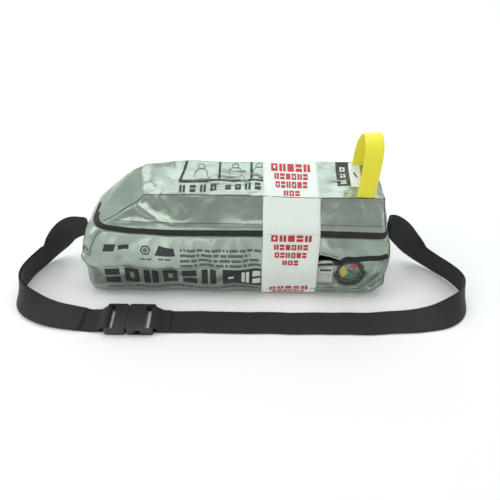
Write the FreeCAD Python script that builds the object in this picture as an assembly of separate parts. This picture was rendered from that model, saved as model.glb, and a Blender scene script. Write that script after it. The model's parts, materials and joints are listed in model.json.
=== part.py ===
import FreeCAD, Part
import math
import os
from FreeCAD import Vector

# Emergency escape breathing set: a compressed-air smoke hood in its carry bag.
# X runs along the bag, Y towards its back, Z up. The origin is the centre of the flat base.

# Overall sizes of the bag, mm
bag_length = 454.0
bag_height = 162.0
foot_depth = 64.0        # front foot, in front of the origin
belly_depth = 72.0       # furthest point of the front, which bulges over the foot
belly_height = 24.0
back_depth = 70.0        # flat back wall, behind the origin
lid_line = 112.0         # height at which the lid parts from the body
lid_line_depth = 50.0
top_front_depth = 14.0   # seam between the lid's front and its top
top_front_height = 150.0
top_back_depth = 60.0
back_top_height = 150.0
left_slope_run = 86.0    # the lid's left end slopes down over this length
skin = 2.5               # coated fabric with its foam backing
split = 0.3              # half of the gap between the lid and the body

# Binding tape, closure and pull loop
binding_height = 8.0
binding_proud = 1.6
closure_height = 16.0
closure_sheet = 1.5
strip_thickness = 0.8
strip_inset = 12.0
loop_left = 171.0
loop_width = 27.0
loop_thickness = 1.6
loop_front = -11.0
loop_back = 56.0
loop_top = 236.0

# Tamper band
band_left = 38.0
band_width = 82.0
band_thickness = 0.3
band_foot = 4.0
band_fold_gap = 6.0

# Window that shows the pressure gauge
window_left = 114.0
window_right = 216.0
window_low = 22.0
window_high = 74.0
window_sheet = 0.8
window_inset = 0.8
frame_width = 5.0
frame_proud = 1.5
card_left = 117.0
card_width = 27.0
card_low = 30.0
card_high = 64.0
card_thickness = 0.8
card_inset = 3.4

# Cylinder and what holds it
cylinder_radius = 55.0
cylinder_left = -212.0
cylinder_right = 112.0
cylinder_y = 4.0
cylinder_z = 62.0
dome_radius = 40.0
cylinder_wall = 4.0
neck_bore = 8.0
neck_radius = 15.0
neck_length = 14.0
neck_ring_radius = 19.0
neck_ring_length = 7.0
board_thickness = 3.0
saddle_length = 46.0
saddle_places = [-150.0, 40.0]
saddle_half_width = 46.0
saddle_height = 26.0
strap_ring_place = -56.0
strap_ring_width = 38.0
strap_ring_thickness = 1.5

# Valve block, reducer, handwheel and pin
block_length = 54.0
block_depth = 40.0
block_low = 26.0
block_high = 84.0
spindle_radius = 5.0
wheel_radius = 21.0
wheel_length = 18.0
wheel_gap = 5.0
wheel_scallops = 8
reducer_radius = 16.0
reducer_height = 24.0
reducer_x = 152.0
reducer_y = 10.0
outlet_radius = 7.0
outlet_height = 4.0
pin_radius = 2.0
pin_bore_depth = 9.0
pin_knob_radius = 8.0
pin_knob_length = 6.0
pin_stand_off = 8.0
cap_radius = 10.0
cap_length = 10.0
plug_radius = 7.0
plug_length = 7.0

# Gauge
gauge_x = 170.0
gauge_z = 46.0
guard_radius = 23.5
case_radius = 20.0
case_wall = 1.7
gauge_front = 4.6        # distance of the guard's rim behind the outer face of the window
gauge_depth = 19.0
lens_thickness = 1.5
dial_place = 6.4         # distances behind the rim
dial_thickness = 0.8
needle_place = 4.2
needle_thickness = 0.8
needle_length = 14.5
needle_rest = -30.0
arbor_radius = 0.8
stem_radius = 6.0

# Hose and hood
hose_radius = 5.0
hose_bend = 16.0
hose_run = 58.0
fitting_radius = 8.5
fitting_length = 14.0
hood_left = -146.0
hood_right = 64.0
hood_front = -17.0
hood_back = 54.0
hood_low = 119.0
hood_high = 136.0
visor_length = 98.0
visor_width = 60.0
visor_thickness = 2.4
seal_radius = 31.0
seal_hole = 15.0
seal_thickness = 2.0
exhale_radius = 15.0
exhale_height = 7.0

# Shoulder strap and its side-release buckle
web_width = 40.0
web_thickness = 1.6
web_lift = 0.3           # the lowest edge of the webbing stands this far above the floor
patch_side = 48.0
patch_thickness = 1.2
anchor_right_z = 84.0
anchor_left_z = 72.0
buckle_y = -124.0
buckle_from_end = 69.0   # mouth of the female half, from the bag's left end
buckle_side = 4.0        # plastic beyond the webbing on each side
buckle_low = 0.6
buckle_height = 12.0
female_length = 40.0
mouth_depth = 24.0
mouth_side = 5.0         # thickness of the female half's side walls
shell_wall = 2.4
side_window_start = 8.0
side_window_length = 13.0
bar_width = 4.0
web_slot = 9.0
male_length = 32.0
prong_width = 4.0
prong_inset = 9.0        # from the buckle's side to the middle of the prong
prong_length = 20.5
head_length = 10.5
prong_play = 0.4
tongue_half = 4.0

gap = 0.4                # running clearance between pieces that aren't fastened
fit = 0.08               # radial clearance round a turning or sliding pin

half_length = bag_length / 2
buckle_join = -half_length + buckle_from_end
buckle_width = web_width + 2 * buckle_side
mouth_half = buckle_width / 2 - mouth_side
prong_centre = buckle_width / 2 - prong_inset
front_lean = math.atan2(belly_depth - lid_line_depth, lid_line - belly_height)
block_left = cylinder_right + neck_length
block_right = block_left + block_length
block_front = cylinder_y - block_depth / 2


def front_face_y(height):
    """Outer face of the front wall between the belly and the lid line."""
    return -belly_depth + (height - belly_height) * math.tan(front_lean)


def box(x0, x1, y0, y1, z0, z1):
    return Part.makeBox(x1 - x0, y1 - y0, z1 - z0, Vector(x0, y0, z0))


def rod(radius, start, direction, length):
    return Part.makeCylinder(radius, length, Vector(*start), Vector(*direction))


def prism_x(outline, x0, x1):
    """Closed outline in Y and Z, drawn out along X."""
    points = [Vector(x0, y, z) for y, z in outline]
    face = Part.Face(Part.makePolygon(points + [points[0]]))
    return face.extrude(Vector(x1 - x0, 0, 0))


def prism_y(outline, y0, y1):
    """Closed outline in X and Z, drawn out along Y."""
    points = [Vector(x, y0, z) for x, z in outline]
    face = Part.Face(Part.makePolygon(points + [points[0]]))
    return face.extrude(Vector(0, y1 - y0, 0))


def shifted(points, distance):
    """The open line moved sideways to its left by a distance, with mitred corners."""
    normals = []
    for (a0, a1), (b0, b1) in zip(points, points[1:]):
        size = math.hypot(b0 - a0, b1 - a1)
        normals.append((-(b1 - a1) / size, (b0 - a0) / size))
    moved = []
    for index, (p0, p1) in enumerate(points):
        before = normals[max(index - 1, 0)]
        after = normals[min(index, len(normals) - 1)]
        scale = distance / (1 + before[0] * after[0] + before[1] * after[1])
        moved.append((p0 + scale * (before[0] + after[0]), p1 + scale * (before[1] + after[1])))
    return moved


def band_of(points, inner, outer):
    """Closed outline of a layer that follows an open line between two distances."""
    return shifted(points, inner) + shifted(points, outer)[::-1]


def on_front(shape):
    """Place a shape built on the XY plane, +Z outwards, onto the sloping front at the gauge."""
    turned = shape.copy()
    turned.rotate(Vector(0, 0, 0), Vector(1, 0, 0), 90 - math.degrees(front_lean))
    turned.translate(Vector(gauge_x, front_face_y(gauge_z), gauge_z))
    return turned


# Body of the bag

def front_line():
    return [(-lid_line_depth, lid_line - split), (-belly_depth, belly_height), (-foot_depth, 0.0)]


def front_wall(inner, outer, x0, x1):
    line = front_line()
    return prism_x([(y + inner, z) for y, z in line] + [(y + outer, z) for y, z in line[::-1]], x0, x1)


def window_area(margin):
    return box(window_left - margin, window_right + margin, -120, 0,
               window_low - margin, window_high + margin)


def front_panel():
    wall = front_wall(0, skin, -half_length + skin, half_length - skin)
    return wall.cut(window_area(0))


def back_panel():
    return box(-half_length + skin, half_length - skin, back_depth - skin, back_depth,
               0, lid_line - split)


def base_panel():
    front = -foot_depth + skin
    return box(-half_length + skin, half_length - skin, front, back_depth - skin, 0, skin)


def end_panel(x0, x1):
    outline = front_line() + [(back_depth, 0.0), (back_depth, lid_line - split)]
    return prism_x(outline, x0, x1)


def gauge_window():
    return front_wall(window_inset, window_inset + window_sheet, window_left, window_right).common(
        window_area(0))


def window_binding():
    frame = front_wall(-frame_proud, 0, window_left - frame_width, window_right + frame_width)
    ring = frame.common(window_area(frame_width)).cut(window_area(0))
    covered = box(band_left, band_left + band_width + gap, -120, 0, 0, lid_line)
    return ring.cut(covered)


def record_card():
    card = front_wall(card_inset, card_inset + card_thickness, card_left, card_left + card_width)
    return card.common(box(card_left, card_left + card_width, -120, 0, card_low, card_high))


def base_board():
    edge = 6.0
    return box(-half_length + edge, half_length - edge, -foot_depth + edge, back_depth - edge,
               skin, skin + board_thickness)


def strap_patch(side, centre_z):
    x0 = side * half_length
    x1 = x0 + side * patch_thickness
    return box(min(x0, x1), max(x0, x1), -patch_side / 2, patch_side / 2,
               centre_z - patch_side / 2, min(centre_z + patch_side / 2, lid_line - 3))


# Lid

def lid_profile():
    return [(-lid_line_depth, lid_line), (-top_front_depth, top_front_height),
            (top_back_depth, bag_height), (back_depth, back_top_height), (back_depth, lid_line)]


def lid_silhouette():
    return [(-half_length, lid_line), (-half_length + left_slope_run, bag_height),
            (half_length, bag_height), (half_length, lid_line)]


def lid_block(inset):
    reach = 300.0
    across = shifted(lid_profile(), -inset)
    along = shifted(lid_silhouette(), -inset)
    return prism_x(across, -reach, reach).common(prism_y(along, -reach, reach))


def lid_shell():
    floor = box(-300, 300, -200, 200, 0, lid_line + split)
    outer = lid_block(0)
    return outer.cut(lid_block(skin)).cut(floor)


def skirt_zone():
    """Everything in front of the mitre between the lid's front and its top."""
    line = lid_profile()
    outer = line[1]
    inner = shifted(line, -skin)[1]
    step = (outer[0] - inner[0], outer[1] - inner[1])
    far = (outer[0] + 8 * step[0], outer[1] + 8 * step[1])
    near = (inner[0] - step[0], inner[1] - step[1])
    return prism_x([(-140, 90), (-140, far[1]), far, near, (near[0], 90)], -300, 300)


def slope_zone():
    """The thickness of the sloping left end."""
    low, high = shifted(lid_silhouette(), -skin)[:2]
    return prism_y([(-320, low[1] - 20), low, high, (high[0], 260), (-320, 260)], -200, 200)


def right_zone():
    return box(half_length - skin, half_length + 5, -200, 200, 0, 300)


def binding_zone():
    return box(-300, 300, -200, back_depth - binding_height, 0, lid_line + split + binding_height)


def lid_top_panel():
    shell = lid_shell().cut(binding_zone()).cut(right_zone())
    slope = shell.common(slope_zone())
    rest = shell.cut(slope_zone()).cut(skirt_zone())
    return rest.fuse(slope).removeSplitter()


def lid_front_skirt():
    shell = lid_shell().cut(binding_zone()).cut(right_zone())
    return shell.cut(slope_zone()).common(skirt_zone())


def lid_right_end():
    return lid_shell().cut(binding_zone()).common(right_zone())


def lid_binding():
    """Black tape folded over the lid's lower edge, round the front and both ends."""
    outer = lid_block(-binding_proud)
    ring = outer.cut(lid_block(skin)).common(binding_zone())
    return ring.cut(box(-300, 300, -200, 200, 0, lid_line + split))


def skirt_line():
    return lid_profile()[:2]


def cut_to_height(shape, low, high):
    return shape.common(box(-300, 300, -200, 200, low, high))


def hook_strip():
    layer = prism_x(band_of(skirt_line(), -skin, -skin - strip_thickness),
                    -half_length + left_slope_run, half_length - strip_inset)
    return cut_to_height(layer, lid_line + binding_height, lid_line + binding_height + closure_height)


def loop_strip():
    depth = skin + strip_thickness + gap
    layer = prism_x(band_of(skirt_line(), -depth, -depth - strip_thickness),
                    -half_length + left_slope_run, half_length - strip_inset)
    return cut_to_height(layer, lid_line + binding_height, lid_line + binding_height + closure_height)


def closure_flap():
    """Inner flap of the body that stands up behind the lid's front."""
    depth = skin + 2 * strip_thickness + gap
    low, high = skirt_line()
    drop = 10.0
    lean = (high[0] - low[0]) / (high[1] - low[1])
    line = [(low[0] - drop * lean, low[1] - drop), high]
    layer = prism_x(band_of(line, -depth - gap / 4, -depth - closure_sheet),
                    -half_length + left_slope_run - 4, half_length - strip_inset + 4)
    return cut_to_height(layer, lid_line, lid_line + binding_height + closure_height + 2)


def pull_loop():
    """Yellow webbing loop that stands up from the lid's top."""
    radius = (loop_back - loop_front) / 2
    middle = (loop_back + loop_front) / 2
    spring = loop_top - radius
    foot = lid_line + 5.0
    solids = []
    for size in (radius, radius - loop_thickness):
        arch = box(loop_left, loop_left + loop_width, middle - size, middle + size, foot, spring)
        crown = rod(size, (loop_left, middle, spring), (1, 0, 0), loop_width)
        solids.append(arch.fuse(crown))
    return solids[0].cut(solids[1]).cut(lid_block(0)).removeSplitter()


def seal_band_upper():
    layer = prism_x(band_of(lid_profile(), binding_proud, binding_proud + band_thickness),
                    band_left, band_left + band_width)
    return cut_to_height(layer, lid_line + split, 400).cut(
        box(-300, 300, 0, 200, 0, lid_line + band_fold_gap))


def seal_band_lower():
    wall = front_wall(-band_thickness, 0, band_left, band_left + band_width)
    return cut_to_height(wall, band_foot, lid_line)


def seal_band_rear():
    return box(band_left, band_left + band_width, back_depth, back_depth + band_thickness,
               band_foot, lid_line - band_fold_gap)


# Air supply

def domed_rod(inset):
    start = (cylinder_left + inset, cylinder_y, cylinder_z)
    body = rod(cylinder_radius - inset, start, (1, 0, 0), cylinder_right - cylinder_left - 2 * inset)
    rims = [edge for edge in body.Edges if edge.Curve.TypeId == "Part::GeomCircle"]
    return body.makeFillet(dome_radius - inset, rims)


def neck_rod(radius, overlap, length):
    return rod(radius, (cylinder_right - overlap, cylinder_y, cylinder_z), (1, 0, 0), overlap + length)


def cylinder():
    shell = domed_rod(0).fuse(neck_rod(neck_radius, 1.0, neck_length))
    return shell.cut(domed_rod(cylinder_wall)).cut(neck_rod(neck_bore, cylinder_wall + 1, neck_length))


def ring_x(inner, outer, x0, length):
    start = (x0, cylinder_y, cylinder_z)
    return rod(outer, start, (1, 0, 0), length).cut(rod(inner, start, (1, 0, 0), length))


def neck_ring():
    return ring_x(neck_radius, neck_ring_radius, cylinder_right + 2, neck_ring_length)


def cylinder_strap():
    return ring_x(cylinder_radius, cylinder_radius + strap_ring_thickness, strap_ring_place,
                  strap_ring_width)


def cylinder_saddles():
    bed = skin + board_thickness
    bore = rod(cylinder_radius, (-300, cylinder_y, cylinder_z), (1, 0, 0), 600)
    solids = []
    for place in saddle_places:
        block = box(place - saddle_length / 2, place + saddle_length / 2,
                    cylinder_y - saddle_half_width, cylinder_y + saddle_half_width,
                    bed, bed + saddle_height)
        solids.append(block.cut(bore))
    return Part.makeCompound(sum([solid.Solids for solid in solids], []))


def valve_body():
    block = box(block_left, block_right, block_front, block_front + block_depth, block_low, block_high)
    edges = [edge for edge in block.Edges if abs(edge.tangentAt(edge.FirstParameter).x) > 0.9]
    block = block.makeFillet(8.0, edges)
    bore = rod(spindle_radius + fit, (block_right - 12, cylinder_y, cylinder_z), (1, 0, 0), 14)
    spigot = neck_rod(neck_bore, 0.0, neck_length + 1)
    return block.fuse(spigot).cut(bore).cut(gauge_stem_bore())


def gauge_stem_bore():
    return on_front(rod(stem_radius, (0, 0, -gauge_front - gauge_depth - 60), (0, 0, 1), 60))


def handwheel():
    start = block_right + wheel_gap
    wheel = rod(wheel_radius, (start, cylinder_y, cylinder_z), (1, 0, 0), wheel_length)
    for index in range(wheel_scallops):
        angle = 2 * math.pi * index / wheel_scallops
        place = wheel_radius + 2.0
        scoop = rod(5.0, (start - 1, cylinder_y + place * math.cos(angle),
                          cylinder_z + place * math.sin(angle)), (1, 0, 0), wheel_length + 2)
        wheel = wheel.cut(scoop)
    spindle = rod(spindle_radius, (start - wheel_gap - 10, cylinder_y, cylinder_z), (1, 0, 0),
                  wheel_gap + 12)
    return wheel.fuse(spindle)


def filling_port_cap():
    start = (block_left + 16, block_front + block_depth, block_low + 16)
    return rod(cap_radius, start, (0, 1, 0), cap_length)


def burst_disc_plug():
    centre_x = block_right - 14
    centre_z = block_low + 18
    points = []
    for index in range(6):
        angle = math.pi * index / 3
        points.append(Vector(centre_x + plug_radius * math.cos(angle), block_front + block_depth,
                             centre_z + plug_radius * math.sin(angle)))
    return Part.Face(Part.makePolygon(points + [points[0]])).extrude(Vector(0, plug_length, 0))


def pin_height():
    return block_high + reducer_height * 0.5


def reducer():
    body = rod(reducer_radius, (reducer_x, reducer_y, block_high), (0, 0, 1), reducer_height)
    outlet = rod(outlet_radius, (reducer_x, reducer_y, block_high + reducer_height - 1), (0, 0, 1),
                 outlet_height + 1)
    bore = rod(pin_radius + fit, (reducer_x, reducer_y - reducer_radius - 2, pin_height()), (0, 1, 0),
               pin_bore_depth + 3)
    return body.fuse(outlet).cut(bore)


def activation_pin():
    face = reducer_y - reducer_radius
    shaft = rod(pin_radius, (reducer_x, face - pin_stand_off, pin_height()), (0, 1, 0),
                pin_stand_off + pin_bore_depth)
    knob = rod(pin_knob_radius, (reducer_x, face - pin_stand_off - pin_knob_length, pin_height()),
               (0, 1, 0), pin_knob_length + 0.5)
    return shaft.fuse(knob)


def hose_path():
    """Up from the reducer, one bend, then along over the cylinder."""
    start = Vector(reducer_x, reducer_y, block_high + reducer_height + outlet_height)
    bend_start = start + Vector(0, 0, 2)
    centre = bend_start + Vector(-hose_bend, 0, 0)
    bend_end = centre + Vector(0, 0, hose_bend)
    middle = centre + Vector(math.cos(math.pi / 4), 0, math.sin(math.pi / 4)) * hose_bend
    end = bend_end + Vector(-hose_run, 0, 0)
    return [start, bend_start, middle, bend_end, end]


def supply_hose():
    start, bend_start, middle, bend_end, end = hose_path()
    edges = [Part.LineSegment(start, bend_start).toShape(),
             Part.Arc(bend_start, middle, bend_end).toShape(),
             Part.LineSegment(bend_end, end).toShape()]
    section = Part.Wire([Part.makeCircle(hose_radius, start, Vector(0, 0, 1))])
    return Part.Wire(edges).makePipeShell([section], True, False)


def hose_fitting():
    end = hose_path()[-1]
    body = rod(fitting_radius, (end.x - fitting_length, end.y, end.z), (1, 0, 0), fitting_length)
    return body.cut(box(-300, 300, -200, 200, 0, hood_low + 0.1))


# Pressure gauge, built on the XY plane with +Z out of the bag

def gauge_case():
    back = -gauge_front - gauge_depth
    case = rod(case_radius, (0, 0, back), (0, 0, 1), gauge_depth)
    hollow = rod(case_radius - case_wall, (0, 0, -gauge_front - dial_place - dial_thickness),
                 (0, 0, 1), gauge_depth)
    stem = rod(stem_radius, (0, 0, back - 24.0), (0, 0, 1), 24.5)
    socket = rod(arbor_radius + fit, (0, 0, -gauge_front - dial_place - 4), (0, 0, 1), 4)
    return on_front(case.cut(hollow).fuse(stem).cut(socket))


def gauge_guard():
    back = -gauge_front - gauge_depth
    ring = rod(guard_radius, (0, 0, back), (0, 0, 1), gauge_depth)
    return on_front(ring.cut(rod(case_radius, (0, 0, back - 1), (0, 0, 1), gauge_depth + 2)))


def gauge_dial():
    low = -gauge_front - dial_place - dial_thickness
    disc = rod(case_radius - case_wall, (0, 0, low), (0, 0, 1), dial_thickness)
    return on_front(disc.cut(rod(arbor_radius + fit, (0, 0, low - 1), (0, 0, 1), 4)))


def gauge_needle():
    """At rest the needle points to full, low on the right."""
    low = -gauge_front - needle_place - needle_thickness
    points = [Vector(-4.5, -0.9, low), Vector(needle_length, -0.25, low),
              Vector(needle_length, 0.25, low), Vector(-4.5, 0.9, low)]
    blade = Part.Face(Part.makePolygon(points + [points[0]])).extrude(Vector(0, 0, needle_thickness))
    arbor = rod(arbor_radius, (0, 0, -gauge_front - dial_place - 3), (0, 0, 1),
                dial_place - needle_place + 3)
    needle = blade.fuse(arbor)
    needle.rotate(Vector(0, 0, 0), Vector(0, 0, 1), needle_rest)
    return on_front(needle)


def gauge_lens():
    return on_front(rod(case_radius - case_wall, (0, 0, -gauge_front - lens_thickness), (0, 0, 1),
                        lens_thickness))


# Folded hood

def hood_fabric():
    pack = box(hood_left, hood_right, hood_front, hood_back, hood_low, hood_high)
    upright = [edge for edge in pack.Edges if abs(edge.tangentAt(edge.FirstParameter).z) > 0.9]
    return pack.makeFillet(14.0, upright)


def hood_visor():
    left = hood_left + 44.0
    middle = (hood_front + hood_back) / 2
    return box(left, left + visor_length, middle - visor_width / 2, middle + visor_width / 2,
               hood_high, hood_high + visor_thickness)


def neck_seal():
    centre = (hood_right - seal_radius - 3, (hood_front + hood_back) / 2, hood_high)
    disc = rod(seal_radius, centre, (0, 0, 1), seal_thickness)
    return disc.cut(rod(seal_hole, centre, (0, 0, 1), seal_thickness))


def exhalation_valve():
    centre = (hood_left + 22, (hood_front + hood_back) / 2, hood_high)
    cap = rod(exhale_radius, centre, (0, 0, 1), exhale_height)
    return cap.makeChamfer(1.5, [cap.Edges[0]])


# Shoulder strap

def webbing_section(route, index, offset):
    """Four corners of the webbing's cross-section at one place of its route."""
    beyond, y, height, twist = route[index]
    before = Vector(*route[max(index - 1, 0)][:3])
    after = Vector(*route[min(index + 1, len(route) - 1)][:3])
    run = (after - before).normalize()
    level = Vector(-run.y, run.x, 0).normalize()
    turn = math.radians(twist)
    across = level * math.cos(turn) + run.cross(level) * math.sin(turn)
    face = run.cross(across)
    centre = Vector(beyond, y, height) + face * offset
    reach = across * (web_width / 2)
    half = face * (web_thickness / 2)
    corners = [centre - reach - half, centre + reach - half, centre + reach + half,
               centre - reach + half]
    return [Vector(half_length + c.x, c.y, max(c.z, web_lift)) for c in corners]


def webbing(side, route, offset=0.0):
    """Webbing as one closed solid, along a route of (distance beyond the bag's end, y, height, twist).

    A twist of 0 lies flat and 90 stands on its edge. The side is -1 for the bag's left end, 1 for its right.
    The diagonals of the two broad faces lie over each other, so that a twisted stretch keeps its thickness.
    """
    corners = []
    for index in range(len(route)):
        corners += webbing_section(route, index, offset)
    last = len(corners) - 4
    triangles = [(2, 1, 0), (3, 2, 0), (last, last + 1, last + 2), (last, last + 2, last + 3)]
    for start in range(0, last, 4):
        for edge in range(4):
            near = start + edge
            beside = start + (edge + 1) % 4
            if edge == 2:
                triangles += [(near, beside, near + 4), (beside, beside + 4, near + 4)]
            else:
                triangles += [(near, beside, beside + 4), (near, beside + 4, near + 4)]
    skin_shape = Part.Shape()
    skin_shape.makeShapeFromMesh((corners, triangles), 0.01)
    solid = Part.Solid(skin_shape.Shells[0])
    if side < 0:
        solid = solid.mirror(Vector(0, 0, 0), Vector(1, 0, 0))
    return solid


def lying(beyond, y, twist=0.0):
    """A place where the webbing's lower edge rests on the floor."""
    turn = math.radians(twist)
    height = web_lift + math.sin(turn) * web_width / 2 + math.cos(turn) * web_thickness / 2
    return beyond, y, height + 0.1, twist


def sewn_on(anchor_z):
    """The last of the webbing, flat on the patch at the bag's end."""
    off = patch_thickness + web_thickness / 2 + 0.1
    return [(off + 0.6, 2.0, anchor_z, 90.0), (off, -8.0, anchor_z, 90.0), (off, -18.0, anchor_z, 90.0)]


def sewn_level():
    return buckle_low + 0.2 + web_thickness / 2


def turned_fold(x_bar, side):
    """Webbing folded round a buckle's bar: two layers that meet beyond the bar."""
    low = buckle_low + 0.2
    high = buckle_low + buckle_height - web_thickness - 0.2
    start = x_bar - side * (web_thickness + gap)
    meet = x_bar + side * 14.0
    end = meet + side * 8.0
    outer = [(end, low), (start, low), (start, high + web_thickness), (meet - side * 6, high + web_thickness),
             (meet + side * 4, low + 2 * web_thickness), (end, low + 2 * web_thickness)]
    inner = [(meet + side * 2.5, low + web_thickness), (start + side * web_thickness, low + web_thickness),
             (start + side * web_thickness, high), (meet - side * 7, high)]
    y0 = buckle_y - web_width / 2
    y1 = buckle_y + web_width / 2
    return prism_y(outer, y0, y1).cut(prism_y(inner, y0, y1))


def female_bar():
    return buckle_join + female_length - bar_width


def male_bar():
    return buckle_join - male_length + bar_width


def right_route():
    start = female_bar() + 22.0 - half_length
    return [(start, buckle_y, sewn_level(), 0.0), lying(-0.75 * half_length, buckle_y),
            lying(-30.0, buckle_y + 1.0, 2.0), lying(30.0, buckle_y + 5.0, 5.0),
            lying(68.0, -115.0, 14.0), lying(90.0, -108.0, 30.0), lying(106.0, -98.0, 50.0),
            lying(116.0, -84.0, 68.0), lying(120.0, -68.0, 80.0), lying(116.0, -51.0, 84.0),
            lying(104.0, -33.0, 84.0), lying(84.0, -12.0, 86.0), (62.0, 4.0, 27.0, 88.0),
            (42.0, 8.0, 48.0, 90.0), (24.0, 7.0, 70.0, 90.0), (10.0, 5.0, 81.5, 90.0)] + sewn_on(anchor_right_z)


def left_route():
    start = -male_bar() + 22.0 - half_length
    return [(start, buckle_y, sewn_level(), 0.0), lying(4.0, buckle_y + 2.0, 5.0),
            lying(40.0, -117.0, 12.0), lying(66.0, -109.0, 24.0), lying(84.0, -99.0, 42.0),
            lying(95.0, -86.0, 62.0), lying(100.0, -70.0, 78.0), lying(99.0, -52.0, 84.0),
            lying(92.0, -31.0, 84.0), lying(80.0, -9.0, 86.0), (66.0, 5.0, 30.0, 88.0),
            (46.0, 9.0, 54.0, 90.0), (26.0, 7.0, 69.0, 90.0), (11.0, 4.0, 72.0, 90.0)] + sewn_on(anchor_left_z)


def strap_right():
    return turned_fold(female_bar(), 1).fuse(webbing(1, right_route())).removeSplitter()


def strap_left():
    return turned_fold(male_bar(), -1).fuse(webbing(-1, left_route())).removeSplitter()


def strap_tail():
    """The free end of the webbing, lying on the outside of the left part of the strap."""
    route = left_route()[:10]
    beyond, y, height, twist = route[0]
    route[0] = (beyond + 4.0, y, height + gap, twist)
    return webbing(-1, route, web_thickness + 2 * gap)


def buckle_female():
    x0 = buckle_join
    x1 = buckle_join + female_length
    half = buckle_width / 2
    top = buckle_low + buckle_height
    body = box(x0, x1, buckle_y - half, buckle_y + half, buckle_low, top)
    upright = [edge for edge in body.Edges if abs(edge.tangentAt(edge.FirstParameter).z) > 0.9]
    body = body.makeFillet(4.0, upright)
    mouth = box(x0 - 1, x0 + mouth_depth, buckle_y - mouth_half, buckle_y + mouth_half,
                buckle_low + shell_wall, top - shell_wall)
    side = box(x0 + side_window_start, x0 + side_window_start + side_window_length,
               buckle_y - half - 1, buckle_y + half + 1, buckle_low + shell_wall, top - shell_wall)
    slot = box(x1 - bar_width - web_slot, x1 - bar_width, buckle_y - web_width / 2 - gap,
               buckle_y + web_width / 2 + gap, buckle_low - 1, top + 1)
    bar_low = box(x1 - bar_width - 1, x1 + 1, buckle_y - web_width / 2 - gap,
                  buckle_y + web_width / 2 + gap, buckle_low - 1, buckle_low + shell_wall + 0.2)
    bar_high = box(x1 - bar_width - 1, x1 + 1, buckle_y - web_width / 2 - gap,
                   buckle_y + web_width / 2 + gap, top - shell_wall - 0.2, top + 1)
    return body.cut(mouth).cut(side).cut(slot).cut(bar_low).cut(bar_high)


def buckle_male():
    x1 = buckle_join - gap
    x0 = buckle_join - male_length
    half = buckle_width / 2
    top = buckle_low + buckle_height
    body = box(x0, x1, buckle_y - half, buckle_y + half, buckle_low, top)
    upright = [edge for edge in body.Edges if abs(edge.tangentAt(edge.FirstParameter).z) > 0.9]
    body = body.makeFillet(4.0, upright)
    slot = box(x0 + bar_width, x0 + bar_width + web_slot, buckle_y - web_width / 2 - gap,
               buckle_y + web_width / 2 + gap, buckle_low - 1, top + 1)
    bar_low = box(x0 - 1, x0 + bar_width + 1, buckle_y - web_width / 2 - gap,
                  buckle_y + web_width / 2 + gap, buckle_low - 1, buckle_low + shell_wall + 0.2)
    bar_high = box(x0 - 1, x0 + bar_width + 1, buckle_y - web_width / 2 - gap,
                   buckle_y + web_width / 2 + gap, top - shell_wall - 0.2, top + 1)
    body = body.cut(slot).cut(bar_low).cut(bar_high)
    low = buckle_low + shell_wall + gap
    high = top - shell_wall - gap
    tongue = box(x1 - 1, buckle_join + mouth_depth - 6, buckle_y - tongue_half,
                 buckle_y + tongue_half, low, high)
    body = body.fuse(tongue)
    for side in (-1, 1):
        middle = buckle_y + side * prong_centre
        root = rod(prong_width / 2 + gap, (buckle_join - 4, middle, low - gap), (0, 0, 1), high - low + 2 * gap)
        inward = middle - side * prong_width
        outward = middle + side * (prong_width / 2 + gap)
        reach = box(buckle_join - 4, buckle_join + 1, min(inward, outward), max(inward, outward),
                    low - gap, high + gap)
        body = body.cut(root).cut(reach)
    return body


def buckle_prong(side):
    """Springy side arm with the head that stands in the female half's side window."""
    low = buckle_low + shell_wall + gap
    high = buckle_low + buckle_height - shell_wall - gap
    axis_x = buckle_join - 4
    middle = buckle_y + side * prong_centre
    arm = box(axis_x, buckle_join + side_window_start + prong_length - 8 + 0.5, middle - prong_width / 2,
              middle + prong_width / 2, low, high)
    root = rod(prong_width / 2, (axis_x, middle, low), (0, 0, 1), high - low)
    head_start = buckle_join + side_window_start + prong_play
    outside = buckle_width / 2 - 0.6
    points = [(head_start, prong_centre), (head_start, outside), (head_start + 4.0, outside),
              (head_start + head_length, mouth_half - 1.2), (head_start + head_length, prong_centre)]
    corners = [Vector(x, buckle_y + side * y, low) for x, y in points]
    head = Part.Face(Part.makePolygon(corners + [corners[0]])).extrude(Vector(0, 0, high - low))
    return arm.fuse(root).fuse(head).removeSplitter()


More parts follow.
